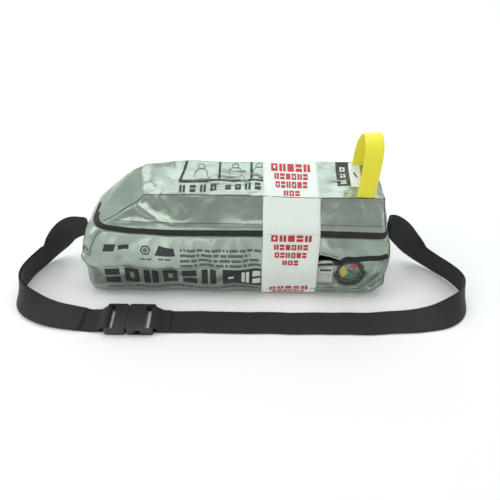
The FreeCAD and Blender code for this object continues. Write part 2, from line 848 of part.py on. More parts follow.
parts = {
    "front_panel": front_panel(),
    "back_panel": back_panel(),
    "base_panel": base_panel(),
    "left_end_panel": end_panel(-half_length, -half_length + skin),
    "right_end_panel": end_panel(half_length - skin, half_length),
    "gauge_window": gauge_window(),
    "window_binding": window_binding(),
    "record_card": record_card(),
    "base_board": base_board(),
    "left_strap_patch": strap_patch(-1, anchor_left_z),
    "right_strap_patch": strap_patch(1, anchor_right_z),
    "closure_flap": closure_flap(),
    "loop_strip": loop_strip(),
    "hook_strip": hook_strip(),
    "lid_top_panel": lid_top_panel(),
    "lid_front_skirt": lid_front_skirt(),
    "lid_right_end": lid_right_end(),
    "lid_binding": lid_binding(),
    "pull_loop": pull_loop(),
    "seal_band_upper": seal_band_upper(),
    "seal_band_lower": seal_band_lower(),
    "seal_band_rear": seal_band_rear(),
    "cylinder": cylinder(),
    "neck_ring": neck_ring(),
    "cylinder_strap": cylinder_strap(),
    "cylinder_saddles": cylinder_saddles(),
    "valve_body": valve_body(),
    "handwheel": handwheel(),
    "filling_port_cap": filling_port_cap(),
    "burst_disc_plug": burst_disc_plug(),
    "reducer": reducer(),
    "activation_pin": activation_pin(),
    "supply_hose": supply_hose(),
    "hose_fitting": hose_fitting(),
    "gauge_case": gauge_case(),
    "gauge_guard": gauge_guard(),
    "gauge_dial": gauge_dial(),
    "gauge_needle": gauge_needle(),
    "gauge_lens": gauge_lens(),
    "hood_fabric": hood_fabric(),
    "hood_visor": hood_visor(),
    "neck_seal": neck_seal(),
    "exhalation_valve": exhalation_valve(),
    "strap_left": strap_left(),
    "strap_tail": strap_tail(),
    "strap_right": strap_right(),
    "buckle_female": buckle_female(),
    "buckle_male": buckle_male(),
    "buckle_prong_front": buckle_prong(-1),
    "buckle_prong_rear": buckle_prong(1),
}

os.makedirs("parts", exist_ok=True)
for node, shape in parts.items():
    shape.exportStep("parts/" + node + ".step")
    print(node, len(shape.Solids), round(shape.Volume), shape.isValid())
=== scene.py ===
import json
import math

import bmesh
import bpy
import numpy as np
from mathutils import Matrix, Vector, noise
from mathutils.bvhtree import BVHTree


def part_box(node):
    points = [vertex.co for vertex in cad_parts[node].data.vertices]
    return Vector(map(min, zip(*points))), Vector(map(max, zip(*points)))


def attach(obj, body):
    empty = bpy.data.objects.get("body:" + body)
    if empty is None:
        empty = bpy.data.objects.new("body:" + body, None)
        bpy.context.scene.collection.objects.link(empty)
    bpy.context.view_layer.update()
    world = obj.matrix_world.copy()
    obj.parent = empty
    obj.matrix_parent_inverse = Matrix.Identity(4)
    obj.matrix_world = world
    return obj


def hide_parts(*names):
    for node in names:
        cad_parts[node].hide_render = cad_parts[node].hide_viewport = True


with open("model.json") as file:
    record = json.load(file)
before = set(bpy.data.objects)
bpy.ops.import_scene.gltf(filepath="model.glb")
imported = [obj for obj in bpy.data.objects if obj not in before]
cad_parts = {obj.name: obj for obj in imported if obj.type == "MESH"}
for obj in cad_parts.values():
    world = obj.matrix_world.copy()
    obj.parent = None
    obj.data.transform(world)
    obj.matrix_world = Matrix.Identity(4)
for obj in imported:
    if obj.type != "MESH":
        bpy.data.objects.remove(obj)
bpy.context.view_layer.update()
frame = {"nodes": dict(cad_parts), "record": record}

scene = bpy.context.scene
nodes = frame["nodes"]
mm = 0.001


# places read from the frame
def low(node):
    return Vector(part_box(node)[0])


def high(node):
    return Vector(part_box(node)[1])


leftX = low("left_end_panel").x
rightX = high("right_end_panel").x
backY = high("back_panel").y
bellyY = low("front_panel").y
lidLine = low("lid_binding").z
lidTop = high("lid_top_panel").z
bandLeft = low("seal_band_lower").x
bandRight = high("seal_band_lower").x


# small mesh helpers
def addObject(name, verts, faces):
    mesh = bpy.data.meshes.new(name)
    mesh.from_pydata([tuple(map(float, v)) for v in verts], [], faces)
    mesh.update()
    mesh.polygons.foreach_set("use_smooth", [True] * len(mesh.polygons))
    obj = bpy.data.objects.new(name, mesh)
    scene.collection.objects.link(obj)
    return obj


def paint(obj, *materials):
    obj.data.materials.clear()
    for material in materials:
        obj.data.materials.append(material)
    return obj


def finishPiece(obj, material, body, slotName, *replaced):
    paint(obj, material)
    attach(obj, body)
    if replaced:
        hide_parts(*replaced)
    return obj


def gridFaces(rows, cols, closeCols=False):
    faces = []
    for i in range(rows - 1):
        for j in range(cols if closeCols else cols - 1):
            a = i * cols + j
            b = i * cols + (j + 1) % cols
            c = (i + 1) * cols + (j + 1) % cols
            d = (i + 1) * cols + j
            faces.append((a, b, c, d))
    return faces


def gridObject(name, grid, closeCols=False):
    rows, cols = grid.shape[:2]
    return addObject(name, grid.reshape(-1, 3), gridFaces(rows, cols, closeCols))


def setUv(obj, uv):
    layer = obj.data.uv_layers.new(name="UVMap")
    for loop in obj.data.loops:
        layer.data[loop.index].uv = uv[loop.vertex_index]


def applyModifiers(obj):
    depsgraph = bpy.context.evaluated_depsgraph_get()
    mesh = bpy.data.meshes.new_from_object(obj.evaluated_get(depsgraph))
    obj.modifiers.clear()
    old = obj.data
    obj.data = mesh
    bpy.data.meshes.remove(old)
    return obj


def smoothLine(points, step):
    # a Catmull-Rom line through the points, in steps of about this length
    points = np.array(points, float)
    padded = np.vstack([2 * points[0] - points[1], points, 2 * points[-1] - points[-2]])
    found = []
    for i in range(1, len(padded) - 2):
        p0, p1, p2, p3 = padded[i - 1:i + 3]
        count = max(2, int(np.linalg.norm(p2[:3] - p1[:3]) / step))
        for k in range(count):
            t = k / count
            found.append(0.5 * (2 * p1 + (p2 - p0) * t + (2 * p0 - 5 * p1 + 4 * p2 - p3) * t * t
                                + (3 * p1 - p0 - 3 * p2 + p3) * t ** 3))
    found.append(points[-1])
    return np.array(found)


def tapeRing(width, thickness, count=10):
    # cross-section of a woven tape: flat faces, rounded selvedges
    half, edge = width / 2, 0.35
    across = np.linspace(-1, 1, count)
    upper = [(a * (half - thickness * edge * (abs(a) == 1)),
              thickness / 2 * (0.55 if abs(a) == 1 else 1)) for a in across]
    ring = [(half, 0.0)] + [(a, n) for a, n in upper[::-1]] + [(-half, 0.0)] + [(a, -n) for a, n in upper]
    return ring


def sweep(name, centres, across, normals, ring, capped=True):
    verts = []
    uv = []
    run = 0.0
    last = None
    for centre, a, n in zip(centres, across, normals):
        if last is not None:
            run += float(np.linalg.norm(centre - last))
        last = centre
        for x, y in ring:
            verts.append(centre + a * x + n * y)
            uv.append((run, x))
    count = len(ring)
    faces = gridFaces(len(centres), count, closeCols=True)
    if capped:
        faces.append(tuple(range(count))[::-1])
        faces.append(tuple(range((len(centres) - 1) * count, len(centres) * count)))
    obj = addObject(name, verts, faces)
    setUv(obj, uv)
    return obj


def unit(v):
    return v / max(1e-9, float(np.linalg.norm(v)))


# material helpers
def newMaterial(name, color, roughness, metallic=0.0):
    material = bpy.data.materials.new(name)
    material.use_nodes = True
    tree = material.node_tree
    shader = tree.nodes["Principled BSDF"]
    shader.inputs["Base Color"].default_value = (*color, 1)
    shader.inputs["Roughness"].default_value = roughness
    shader.inputs["Metallic"].default_value = metallic
    return material, tree, shader


def addNode(tree, kind, **values):
    node = tree.nodes.new(kind)
    for key, value in values.items():
        if key in node.inputs:
            node.inputs[key].default_value = value
        else:
            setattr(node, key, value)
    return node


def coordinates(tree, kind="Object"):
    node = addNode(tree, "ShaderNodeTexCoord")
    return node.outputs[kind]


def mixedColor(tree, shader, factor, first, second):
    mix = addNode(tree, "ShaderNodeMix", data_type="RGBA")
    tree.links.new(factor, mix.inputs["Factor"])
    mix.inputs["A"].default_value = (*first, 1)
    mix.inputs["B"].default_value = (*second, 1)
    tree.links.new(mix.outputs["Result"], shader.inputs["Base Color"])
    return mix


def noiseField(tree, vector, size, detail=3.0, roughness=0.5):
    field = addNode(tree, "ShaderNodeTexNoise", Scale=1 / size, Detail=detail, Roughness=roughness)
    tree.links.new(vector, field.inputs["Vector"])
    return field.outputs["Fac"]


def mapped(tree, value, fromLow, fromHigh, toLow, toHigh):
    node = addNode(tree, "ShaderNodeMapRange")
    for key, number in zip(("From Min", "From Max", "To Min", "To Max"), (fromLow, fromHigh, toLow, toHigh)):
        node.inputs[key].default_value = number
    tree.links.new(value, node.inputs["Value"])
    return node.outputs["Result"]


def bumpFrom(tree, shader, height, distance, strength=0.5, after=None):
    bump = addNode(tree, "ShaderNodeBump", Strength=strength, Distance=distance)
    tree.links.new(height, bump.inputs["Height"])
    if after is not None:
        tree.links.new(after.outputs["Normal"], bump.inputs["Normal"])
    tree.links.new(bump.outputs["Normal"], shader.inputs["Normal"])
    return bump


def weaveHeight(tree, vector, pitch, turn=0.0):
    # two sets of threads at right angles, multiplied into a plain weave
    spin = addNode(tree, "ShaderNodeMapping")
    spin.inputs["Rotation"].default_value = (0, 0, turn)
    tree.links.new(vector, spin.inputs["Vector"])
    waves = []
    for direction in ("X", "Y"):
        wave = addNode(tree, "ShaderNodeTexWave", wave_type="BANDS", bands_direction=direction, Scale=0.314 / pitch,
                       Distortion=0.4, Detail=1.0)
        tree.links.new(spin.outputs["Vector"], wave.inputs["Vector"])
        waves.append(wave.outputs["Fac"])
    product = addNode(tree, "ShaderNodeMath", operation="MULTIPLY")
    tree.links.new(waves[0], product.inputs[0])
    tree.links.new(waves[1], product.inputs[1])
    return product.outputs["Value"]


# materials
silver = dict(light=(0.368, 0.432, 0.370), dark=(0.250, 0.300, 0.250), roughness=(0.27, 0.42), metallic=0.78,
              weavePitch=0.9 * mm, weaveDepth=0.12 * mm, crumple=16 * mm, crumpleDepth=0.8 * mm)


def silverCoat():
    material, tree, shader = newMaterial("silverCoat", silver["light"], 0.38, silver["metallic"])
    where = coordinates(tree)
    cloudy = noiseField(tree, where, 45 * mm, 4.0)
    # cloudy all over at random, and darker towards the foot of the bag as painted shade
    height = addNode(tree, "ShaderNodeSeparateXYZ")
    tree.links.new(where, height.inputs[0])
    cloudAndFootShade = addNode(tree, "ShaderNodeMath", operation="MAXIMUM")
    tree.links.new(mapped(tree, cloudy, 0.3, 0.7, 0, 0.7), cloudAndFootShade.inputs[0])
    tree.links.new(mapped(tree, height.outputs["Z"], 10 * mm, 75 * mm, 1.25, 0), cloudAndFootShade.inputs[1])
    mixedColor(tree, shader, cloudAndFootShade.outputs["Value"], silver["light"], silver["dark"])
    rough = noiseField(tree, where, 9 * mm, 5.0, 0.65)
    tree.links.new(mapped(tree, rough, 0.3, 0.7, *silver["roughness"]), shader.inputs["Roughness"])
    weave = bumpFrom(tree, shader, weaveHeight(tree, where, silver["weavePitch"]), silver["weaveDepth"], 0.35)
    crumple = noiseField(tree, where, silver["crumple"], 5.0, 0.55)
    bumpFrom(tree, shader, crumple, silver["crumpleDepth"], 0.45, after=weave)
    shader.inputs["Coat Weight"].default_value = 0.35
    shader.inputs["Coat Roughness"].default_value = 0.22
    return material


def wovenTape(name, color, shade, pitch, sheen=0.3, roughness=0.72):
    material, tree, shader = newMaterial(name, color, roughness)
    where = coordinates(tree, "UV")
    weave = weaveHeight(tree, where, pitch, 0.0)
    mixedColor(tree, shader, mapped(tree, weave, 0.0, 0.8, 0, 1), shade, color)
    bumpFrom(tree, shader, weave, 0.35 * mm, 0.7)
    shader.inputs["Sheen Weight"].default_value = sheen
    shader.inputs["Sheen Roughness"].default_value = 0.45
    return material


def plainFinish(name, color, roughness, metallic=0.0, grain=0.6 * mm, depth=0.05 * mm, wear=0.15, coat=0.0):
    material, tree, shader = newMaterial(name, color, roughness, metallic)
    where = coordinates(tree)
    patches = noiseField(tree, where, 14 * mm, 4.0)
    darker = tuple(c * (1 - wear) for c in color)
    mixedColor(tree, shader, mapped(tree, patches, 0.35, 0.65, 0, 1), color, darker)
    scuff = noiseField(tree, where, 5 * mm, 6.0, 0.7)
    tree.links.new(mapped(tree, scuff, 0.3, 0.7, max(0.04, roughness - 0.08), min(1, roughness + 0.1)),
                   shader.inputs["Roughness"])
    bumpFrom(tree, shader, noiseField(tree, where, grain, 2.0), depth, 0.4)
    if coat:
        shader.inputs["Coat Weight"].default_value = coat
        shader.inputs["Coat Roughness"].default_value = 0.12
    return material


def clearSheet(name, tint, alpha, roughness, ripple):
    material, tree, shader = newMaterial(name, tint, roughness)
    shader.inputs["Alpha"].default_value = alpha
    shader.inputs["Coat Weight"].default_value = 0.12
    shader.inputs["Coat Roughness"].default_value = 0.05
    where = coordinates(tree)
    bumpFrom(tree, shader, noiseField(tree, where, 12 * mm, 2.0), ripple, 0.6)
    return material


finishes = {
    "coated_fabric": silverCoat(),
    "black_binding": wovenTape("blackBinding", (0.015, 0.016, 0.015), (0.005, 0.005, 0.006), 0.9 * mm, 0.1),
    "black_webbing": wovenTape("blackWebbing", (0.019, 0.020, 0.019), (0.006, 0.006, 0.007), 1.5 * mm, 0.12),
    "yellow_webbing": wovenTape("yellowWebbing", (1.0, 0.93, 0.06), (0.88, 0.79, 0.035), 1.3 * mm, 0.2, 0.6),
    "clear_window": clearSheet("clearWindow", (0.30, 0.34, 0.31), 0.06, 0.10, 0.5 * mm),
    "card": plainFinish("cardStock", (0.74, 0.74, 0.66), 0.7, grain=0.4 * mm, depth=0.02 * mm, wear=0.06),
    "board": plainFinish("boardPlastic", (0.06, 0.06, 0.065), 0.6, grain=0.8 * mm, depth=0.1 * mm),
    "foam": plainFinish("closedFoam", (0.05, 0.05, 0.055), 0.9, grain=1.0 * mm, depth=0.4 * mm),
    "tamper_band": plainFinish("bandPaper", (0.76, 0.82, 0.77), 0.42, grain=0.5 * mm, depth=0.03 * mm, wear=0.03),
    "hook_and_loop": plainFinish("hookPile", (0.035, 0.035, 0.04), 0.95, grain=0.7 * mm, depth=0.5 * mm),
    "cylinder_steel": plainFinish("cylinderPaint", (0.35, 0.37, 0.38), 0.32, grain=1.5 * mm, depth=0.06 * mm,
                                  coat=0.5),
    "brass": plainFinish("machinedBrass", (0.66, 0.47, 0.20), 0.30, 1.0, wear=0.25),
    "nickel": plainFinish("platedNickel", (0.62, 0.61, 0.58), 0.26, 1.0, wear=0.15),
    "black_rubber": plainFinish("blackRubber", (0.014, 0.014, 0.015), 0.55, grain=0.5 * mm, depth=0.08 * mm),
    "black_plastic": plainFinish("blackPlastic", (0.012, 0.012, 0.013), 0.34, grain=0.35 * mm, depth=0.05 * mm),
    "red_plastic": plainFinish("redPlastic", (0.50, 0.02, 0.015), 0.35, grain=0.5 * mm, depth=0.04 * mm),
    "gauge_face": plainFinish("dialPaint", (0.36, 0.36, 0.37), 0.5, grain=0.4 * mm, depth=0.01 * mm, wear=0.05),
    "gauge_glass": clearSheet("gaugeGlass", (0.55, 0.58, 0.6), 0.05, 0.05, 0.1 * mm),
    "orange_hood": plainFinish("orangeHood", (0.78, 0.22, 0.02), 0.42, grain=1.2 * mm, depth=0.15 * mm, wear=0.2,
                               coat=0.3),
}
inkBlack = plainFinish("inkBlack", (0.016, 0.016, 0.018), 0.42, grain=0.5 * mm, depth=0.02 * mm, wear=0.1)
inkRed = plainFinish("inkRed", (0.50, 0.018, 0.022), 0.5, grain=0.5 * mm, depth=0.02 * mm, wear=0.08)
inkPale = plainFinish("inkPale", (0.62, 0.65, 0.58), 0.45, grain=0.5 * mm, depth=0.02 * mm, wear=0.08)
threadDark = plainFinish("threadDark", (0.08, 0.085, 0.075), 0.7, grain=0.3 * mm, depth=0.05 * mm)
for entry in frame["record"]["subparts"]:
    paint(nodes[entry["node"]], finishes[entry["material_slot"]])
print("materials done")


# camera, floor and light
view = dict(aim=(0.020, -0.056, 0.085), elevation=45.0, distance=0.771, lens=38.16, roll=0.7)


def addCamera():
    data = bpy.data.cameras.new("bagCamera")
    data.sensor_width = 36
    data.lens = view["lens"]
    data.dof.use_dof = False
    data.clip_start = 0.01
    camera = bpy.data.objects.new("bagCamera", data)
    scene.collection.objects.link(camera)
    tilt = math.radians(view["elevation"])
    look = Vector((0, math.cos(tilt), -math.sin(tilt)))
    camera.location = Vector(view["aim"]) - look * view["distance"]
    turn = look.to_track_quat("-Z", "Y").to_matrix().to_4x4()
    camera.matrix_world = (turn.to_3x3() @ spinAbout(view["roll"])).to_4x4()
    camera.location = Vector(view["aim"]) - look * view["distance"]
    scene.camera = camera


def spinAbout(degrees):
    return Matrix.Rotation(math.radians(degrees), 3, "Z")


def addArea(name, place, target, size, power, color=(1, 1, 1)):
    data = bpy.data.lights.new(name, "AREA")
    data.shape = "RECTANGLE"
    data.size, data.size_y = size
    data.energy = power
    data.color = color
    lamp = bpy.data.objects.new(name, data)
    scene.collection.objects.link(lamp)
    lamp.location = place
    lamp.rotation_euler = (Vector(target) - Vector(place)).to_track_quat("-Z", "Y").to_euler()


studioWorld = dict(color=(0.96, 0.99, 0.97), strength=0.76, dimSide=(0.0, -0.67, 0.74), dimShare=0.60)


def addWorld():
    # pale all round, dimmer in front and above, where a studio has nothing that reflects light
    world = bpy.data.worlds.new("paleWorld")
    world.use_nodes = True
    tree = world.node_tree
    background = tree.nodes["Background"]
    background.inputs["Color"].default_value = (*studioWorld["color"], 1)
    facing = addNode(tree, "ShaderNodeVectorMath", operation="DOT_PRODUCT")
    tree.links.new(addNode(tree, "ShaderNodeTexCoord").outputs["Generated"], facing.inputs[0])
    facing.inputs[1].default_value = studioWorld["dimSide"]
    full = studioWorld["strength"]
    dim = mapped(tree, facing.outputs["Value"], 0.55, 0.95, full, full * studioWorld["dimShare"])
    tree.links.new(dim, background.inputs["Strength"])
    scene.world = world


def addStudio():
    floor = addObject("studioFloor", [(-6, -6, 0), (6, -6, 0), (6, 6, 0), (-6, 6, 0)], [(0, 1, 2, 3)])
    floor.location.z = -0.2 * mm
    material, tree, shader = newMaterial("paleFloor", (0.93, 0.93, 0.93), 0.85)
    shader.inputs["Specular IOR Level"].default_value = 0.1
    paint(floor, material)
    addWorld()
    addArea("backLight", (0.1, 1.5, 1.45), (0, 0, 0.1), (1.8, 1.0), 13, (0.86, 0.93, 1.0))
    addArea("topLight", (0.0, 0.25, 1.9), (0, 0, 0.05), (1.2, 0.9), 9)
    addArea("frontLight", (-0.5, -1.7, 0.42), (0, 0, 0.05), (1.2, 0.5), 4)
    addArea("rightLight", (1.5, -0.2, 0.9), (0, 0, 0.08), (0.6, 0.8), 2)
    addArea("leftLight", (-1.5, -0.1, 0.8), (0, 0, 0.08), (0.6, 0.8), 5)
    scene.view_settings.view_transform = "Standard"


addCamera()
addStudio()
print("camera and studio done")


# the bag: rings of points round the bag, lofted into a shell
bag = dict(frontPoints=120, sidePoints=30, cornerPoints=8, wallRings=30, cloth=1.3 * mm, wallSlack=-0.008,
           lidSlack=-0.006, cap=5 * mm, floorRings=6)


def roundedRing(corners, radii):
    # corners in the order front left, front right, back right, back left; each is rounded by its own radius
    counts = [bag["frontPoints"], bag["sidePoints"], bag["frontPoints"], bag["sidePoints"]]
    corners = [np.array(c, float) for c in corners]
    found = []
    for k in range(4):
        here, there = corners[k], corners[(k + 1) % 4]
        along = unit(there - here)
        start, end = here + along * radii[k], there - along * radii[(k + 1) % 4]
        for i in range(counts[k]):
            found.append(start + (end - start) * i / counts[k])
        onward = unit(corners[(k + 2) % 4] - there)
        leave = there + onward * radii[(k + 1) % 4]
        for i in range(bag["cornerPoints"]):
            t = i / bag["cornerPoints"]
            found.append(end * (1 - t) ** 2 + there * 2 * t * (1 - t) + leave * t * t)
    return np.array(found)


def profile(heights, values):
    return lambda z: float(np.interp(z, heights, values))


levels = [0, 6 * mm, 24 * mm, 62 * mm, 82 * mm, 100 * mm, lidLine]
frontAt = profile(levels, [bellyY + v * mm for v in (13, 5, 1, 8, 12.5, 18, 22)])
leftAt = profile(levels, [leftX + v * mm for v in (8, 3, 0.5, -0.5, 1.5, 9, 20)])
rightAt = profile(levels, [rightX - v * mm for v in (22, 11, 2, 0, 1, 5, 10)])
backAt = profile(levels, [backY - v * mm for v in (8, 3, 0.5, 0.5, 0.5, 0.5, 0.8)])
leftFrontRadius = profile(levels, [v * mm for v in (16, 16, 18, 20, 24, 28, 30)])
leftBackRadius = profile(levels, [v * mm for v in (20, 20, 22, 26, 34, 46, 54)])
rightFrontRadius = profile(levels, [v * mm for v in (26, 22, 18, 16, 14, 12, 12)])
rightBackRadius = profile(levels, [v * mm for v in (20, 20, 22, 24, 26, 28, 30)])


def wallRing(z):
    xl, xr, yf, yb = leftAt(z), rightAt(z), frontAt(z), backAt(z)
    return roundedRing([(xl, yf), (xr, yf), (xr, yb), (xl, yb)],
                       [leftFrontRadius(z), rightFrontRadius(z), rightBackRadius(z), leftBackRadius(z)])


def wobble(point, size, amount, seed=0.0):
    # a smooth random shift, the same at each run
    return amount * noise.noise(Vector((point[0] / size + seed, point[1] / size - seed, point[2] / size + 2 * seed)))


def smoothStep(value, start, end):
    t = min(1.0, max(0.0, (value - start) / (end - start)))
    return t * t * (3 - 2 * t)


def lineSag(x, y):
    # how far the lid line stands above or below its mean height: up at the left end, down along the front
    front = smoothStep(20 * mm - y, 0, 60 * mm)
    places = [leftX + v * mm for v in (20, 42, 75, 130, 250, 330, 440)]
    return front * float(np.interp(x, places, [v * mm for v in (6.5, 4.5, -1, -4.5, -4, -3.5, -7)]))


def bodyRings():
    rings = []
    base = wallRing(0.0)
    for k in range(bag["floorRings"]):
        t = (k + 1) / (bag["floorRings"] + 1)
        ring = [(x * t, y * t, 0.25 * mm) for x, y in base]
        rings.append(ring)
    for k in range(bag["wallRings"] + 1):
        z = 0.25 * mm + (lidLine - 1.0 * mm) * (k / bag["wallRings"]) ** 0.95
        rings.append([(x, y, z + lineSag(x, y) * (z / lidLine) ** 3) for x, y in wallRing(z)])
    return np.array(rings)


lidShape = dict(rises=20, topRings=16, crown=2.5 * mm, bulge=4.0 * mm,
                frontLeft=(-134 * mm, -10 * mm), frontRight=(215 * mm, -14 * mm),
                backRight=(201 * mm, 61 * mm), backLeft=(-147 * mm, 60 * mm),
                radii=(5 * mm, 5 * mm, 14 * mm, 16 * mm), frontZ=149 * mm, leftDropFrom=-152 * mm,
                leftDropTo=-88 * mm)


def topHeight(x, y):
    # the top rises towards the back, less so near the sloping left end
    front, back = lidShape["frontRight"][1], lidShape["backRight"][1]
    share = (y - front) / (back - front)
    rise = lidTop - 2.0 * mm - lidShape["frontZ"]
    grow = 0.25 + 0.75 * smoothStep(x, lidShape["leftDropFrom"], lidShape["leftDropTo"])
    return lidShape["frontZ"] + rise * share * grow


def lidRings():
    base = np.array([(x, y, lidLine + 0.7 * mm) for x, y in wallRing(lidLine)])
    seam = roundedRing([lidShape["frontLeft"], lidShape["frontRight"], lidShape["backRight"], lidShape["backLeft"]],
                       lidShape["radii"])
    top = np.array([(x, y, topHeight(x, y)) for x, y in seam])
    rings = []
    for k in range(lidShape["rises"] + 1):
        t = k / lidShape["rises"]
        ring = base + (top - base) * t
        ring[:, 2] += [lineSag(x, y) * (1 - t) ** 2 for x, y, z in base]
        ring[:, 2] += 0.35 * lidShape["bulge"] * math.sin(math.pi * t)
        outward = ring - np.array([0, 5 * mm, 0])
        lean = np.clip(np.abs(outward[:, 1:2]) / (40 * mm), 0, 1)
        ring[:, 1:2] += np.sign(outward[:, 1:2]) * lean * lidShape["bulge"] * math.sin(math.pi * t)
        rings.append(ring)
    front, back = lidShape["frontRight"][1], lidShape["backRight"][1]
    middleY, reach = (front + back) / 2, (back - front) / 2
    for k in range(1, lidShape["topRings"] + 1):
        t = k / lidShape["topRings"] * 0.985
        ring = []
        for x, y, z in top:
            inner = min(max(x, lidShape["frontLeft"][0] + reach), lidShape["backRight"][0] - reach)
            px, py = x + (inner - x) * t, y + (middleY - y) * t
            ring.append((px, py, topHeight(px, py) + lidShape["crown"] * (1 - (1 - t) ** 2)))
        rings.append(np.array(ring))
    return np.array(rings)


def foldShift(point, folds):
    shift = 0.0
    for fold in folds:
        points = [Vector(p) * mm for p in fold["line"]]
        best, where = 1.0, 0.0
        for k in range(len(points) - 1):
            a, b = points[k], points[k + 1]
            t = min(1.0, max(0.0, (point - a).dot(b - a) / (b - a).length_squared))
            away = (point - a.lerp(b, t)).length
            if away < best:
                best, where = away, (k + t) / (len(points) - 1)
        taper = min(1.0, 4 * where + 0.1, 4 * (1 - where) + 0.1)
        shift += fold["height"] * mm * math.exp(-(best / (fold["width"] * mm)) ** 2) * taper
    return shift


def shellObject(name, rings, folds, noiseAmount, calm):
    obj = gridObject(name, rings, closeCols=True)
    normals = [v.normal.copy() for v in obj.data.vertices]
    for vertex, normal in zip(obj.data.vertices, normals):
        shift = foldShift(vertex.co, folds) + wobble(vertex.co, 42 * mm, noiseAmount)
        shift += wobble(vertex.co, 15 * mm, noiseAmount * 0.3, 3.1)
        vertex.co += normal * shift * calm(vertex.co)
    return obj


def settleCloth(obj, pins, slack, pressure, cap, frames=20, stiffness=15, bending=6.0):
    # buckles the shell between its seams, as coated cloth does when it is cut a little large
    start = np.array([v.co for v in obj.data.vertices])
    group = obj.vertex_groups.new(name="seams")
    for index, weight in enumerate(pins):
        group.add([index], float(weight), "REPLACE")
    cloth = obj.modifiers.new("cloth", "CLOTH")
    settings = cloth.settings
    settings.quality = 5
    settings.mass = 0.3
    settings.tension_stiffness = stiffness
    settings.compression_stiffness = stiffness
    settings.shear_stiffness = stiffness * 0.5
    settings.bending_stiffness = bending
    settings.vertex_group_mass = "seams"
    settings.shrink_min = slack
    settings.use_pressure = True
    settings.uniform_pressure_force = pressure
    settings.effector_weights.gravity = 0.0
    cloth.collision_settings.use_collision = False
    cloth.point_cache.frame_start = 1
    cloth.point_cache.frame_end = frames
    scene.frame_start = 1
    scene.frame_end = frames
    for number in range(1, frames + 1):
        scene.frame_set(number)
    evaluated = obj.evaluated_get(bpy.context.evaluated_depsgraph_get())
    end = np.array([v.co for v in evaluated.to_mesh().vertices])
    evaluated.to_mesh_clear()
    obj.modifiers.clear()
    scene.frame_set(1)
    step = end - start
    length = np.linalg.norm(step, axis=1)
    step *= np.where(length > cap, cap / np.maximum(length, 1e-9), 1.0)[:, None]
    for vertex, place in zip(obj.data.vertices, start + step):
        vertex.co = place
    obj.vertex_groups.clear()
    print(obj.name, "settled, mean move", round(float(length.mean()) * 1000, 2), "mm, most",
          round(float(length.max()) * 1000, 2))


wallFolds = [
    dict(line=[(-222, -44, 100), (-224, -54, 84), (-226, -58, 74)], width=4, height=-3.5),
    dict(line=[(-228, -40, 78), (-222, -60, 77), (-214, -66, 77)], width=3, height=-2.5),
    dict(line=[(-228, -46, 70), (-222, -62, 62), (-220, -66, 50)], width=7, height=4.0),
    dict(line=[(-222, -62, 66), (-224, -66, 40), (-220, -70, 18)], width=5, height=-2.5),
    dict(line=[(122, -62, 94), (142, -62, 92), (166, -60, 92)], width=10, height=5.0),
    dict(line=[(150, -60, 100), (170, -64, 84), (178, -66, 78)], width=5, height=3.0),
    dict(line=[(172, -74, 14), (198, -72, 30), (220, -62, 62)], width=4, height=3.5),
    dict(line=[(184, -74, 12), (206, -70, 26), (224, -56, 48)], width=5, height=-4.5),
    dict(line=[(196, -72, 8), (212, -66, 18), (226, -50, 34)], width=5, height=3.0),
    dict(line=[(204, -70, 24), (212, -66, 20), (216, -60, 12)], width=4, height=-3.5),
]
lidFolds = [
    dict(line=[(-150, -18, 146), (-142, -23, 141), (-128, -31, 132), (-106, -40, 124), (-84, -45, 119)], width=4.5,
         height=4.2),
    dict(line=[(-122, -17, 145), (-104, -24, 138), (-88, -34, 129)], width=10, height=-4.5),
    dict(line=[(-84, -16, 150), (-80, -28, 136), (-72, -38, 124)], width=8, height=2.8),
    dict(line=[(-56, -20, 144), (-30, -30, 134), (8, -28, 138)], width=13, height=-2.6),
    dict(line=[(-28, -14, 150), (-10, -18, 148), (26, -15, 150)], width=6, height=2.4),
    dict(line=[(-150, -6, 148), (-142, 6, 154), (-128, 18, 156), (-112, 8, 154)], width=6, height=4.0),
    dict(line=[(-140, -8, 150), (-126, -4, 151), (-108, -8, 151)], width=7, height=-3.0),
    dict(line=[(-186, -20, 128), (-176, 10, 134), (-168, 36, 138)], width=12, height=-2.0),
    dict(line=[(140, -6, 152), (162, 2, 154), (186, -6, 152)], width=9, height=2.2),
    dict(line=[(128, 10, 158), (150, 24, 160), (160, 50, 162)], width=10, height=-1.8),
    dict(line=[(206, -44, 122), (212, -30, 134), (214, -18, 146)], width=6, height=-1.5),
]


def closeTop(obj, above):
    shell = bmesh.new()
    shell.from_mesh(obj.data)
    bmesh.ops.holes_fill(shell, edges=[e for e in shell.edges if e.is_boundary and e.verts[0].co.z > above])
    for face in shell.faces:
        face.smooth = True
    shell.to_mesh(obj.data)
    shell.free()


def makeBagWall():
    rings = bodyRings()
    calm = lambda p: smoothStep(p.z, 0.5 * mm, 8 * mm) * smoothStep(lidLine - p.z, 1.5 * mm, 12 * mm)
    obj = shellObject("bagWall", rings, wallFolds, 2.0 * mm, calm)
    rows, cols = rings.shape[:2]
    pins = np.zeros((rows, cols))
    pins[:bag["floorRings"] + 2] = 1
    pins[-2:] = 1
    pins[-4:-2] = 0.4
    settleCloth(obj, pins.reshape(-1), bag["wallSlack"], 1.0, bag["cap"])
    return obj


def makeLidShell():
    rings = lidRings()
    calm = lambda p: smoothStep(p.z - lineSag(p.x, p.y), lidLine + 3 * mm, lidLine + 16 * mm)
    obj = shellObject("lidShell", rings, lidFolds, 1.4 * mm, calm)
    rows, cols = rings.shape[:2]
    pins = np.zeros((rows, cols))
    pins[:5] = 1
    pins[5:7] = 0.4
    pins[lidShape["rises"]] = 0.8
    closeTop(obj, 140 * mm)
    settleCloth(obj, pins.reshape(-1), bag["lidSlack"], 0.8, bag["cap"])
    return obj


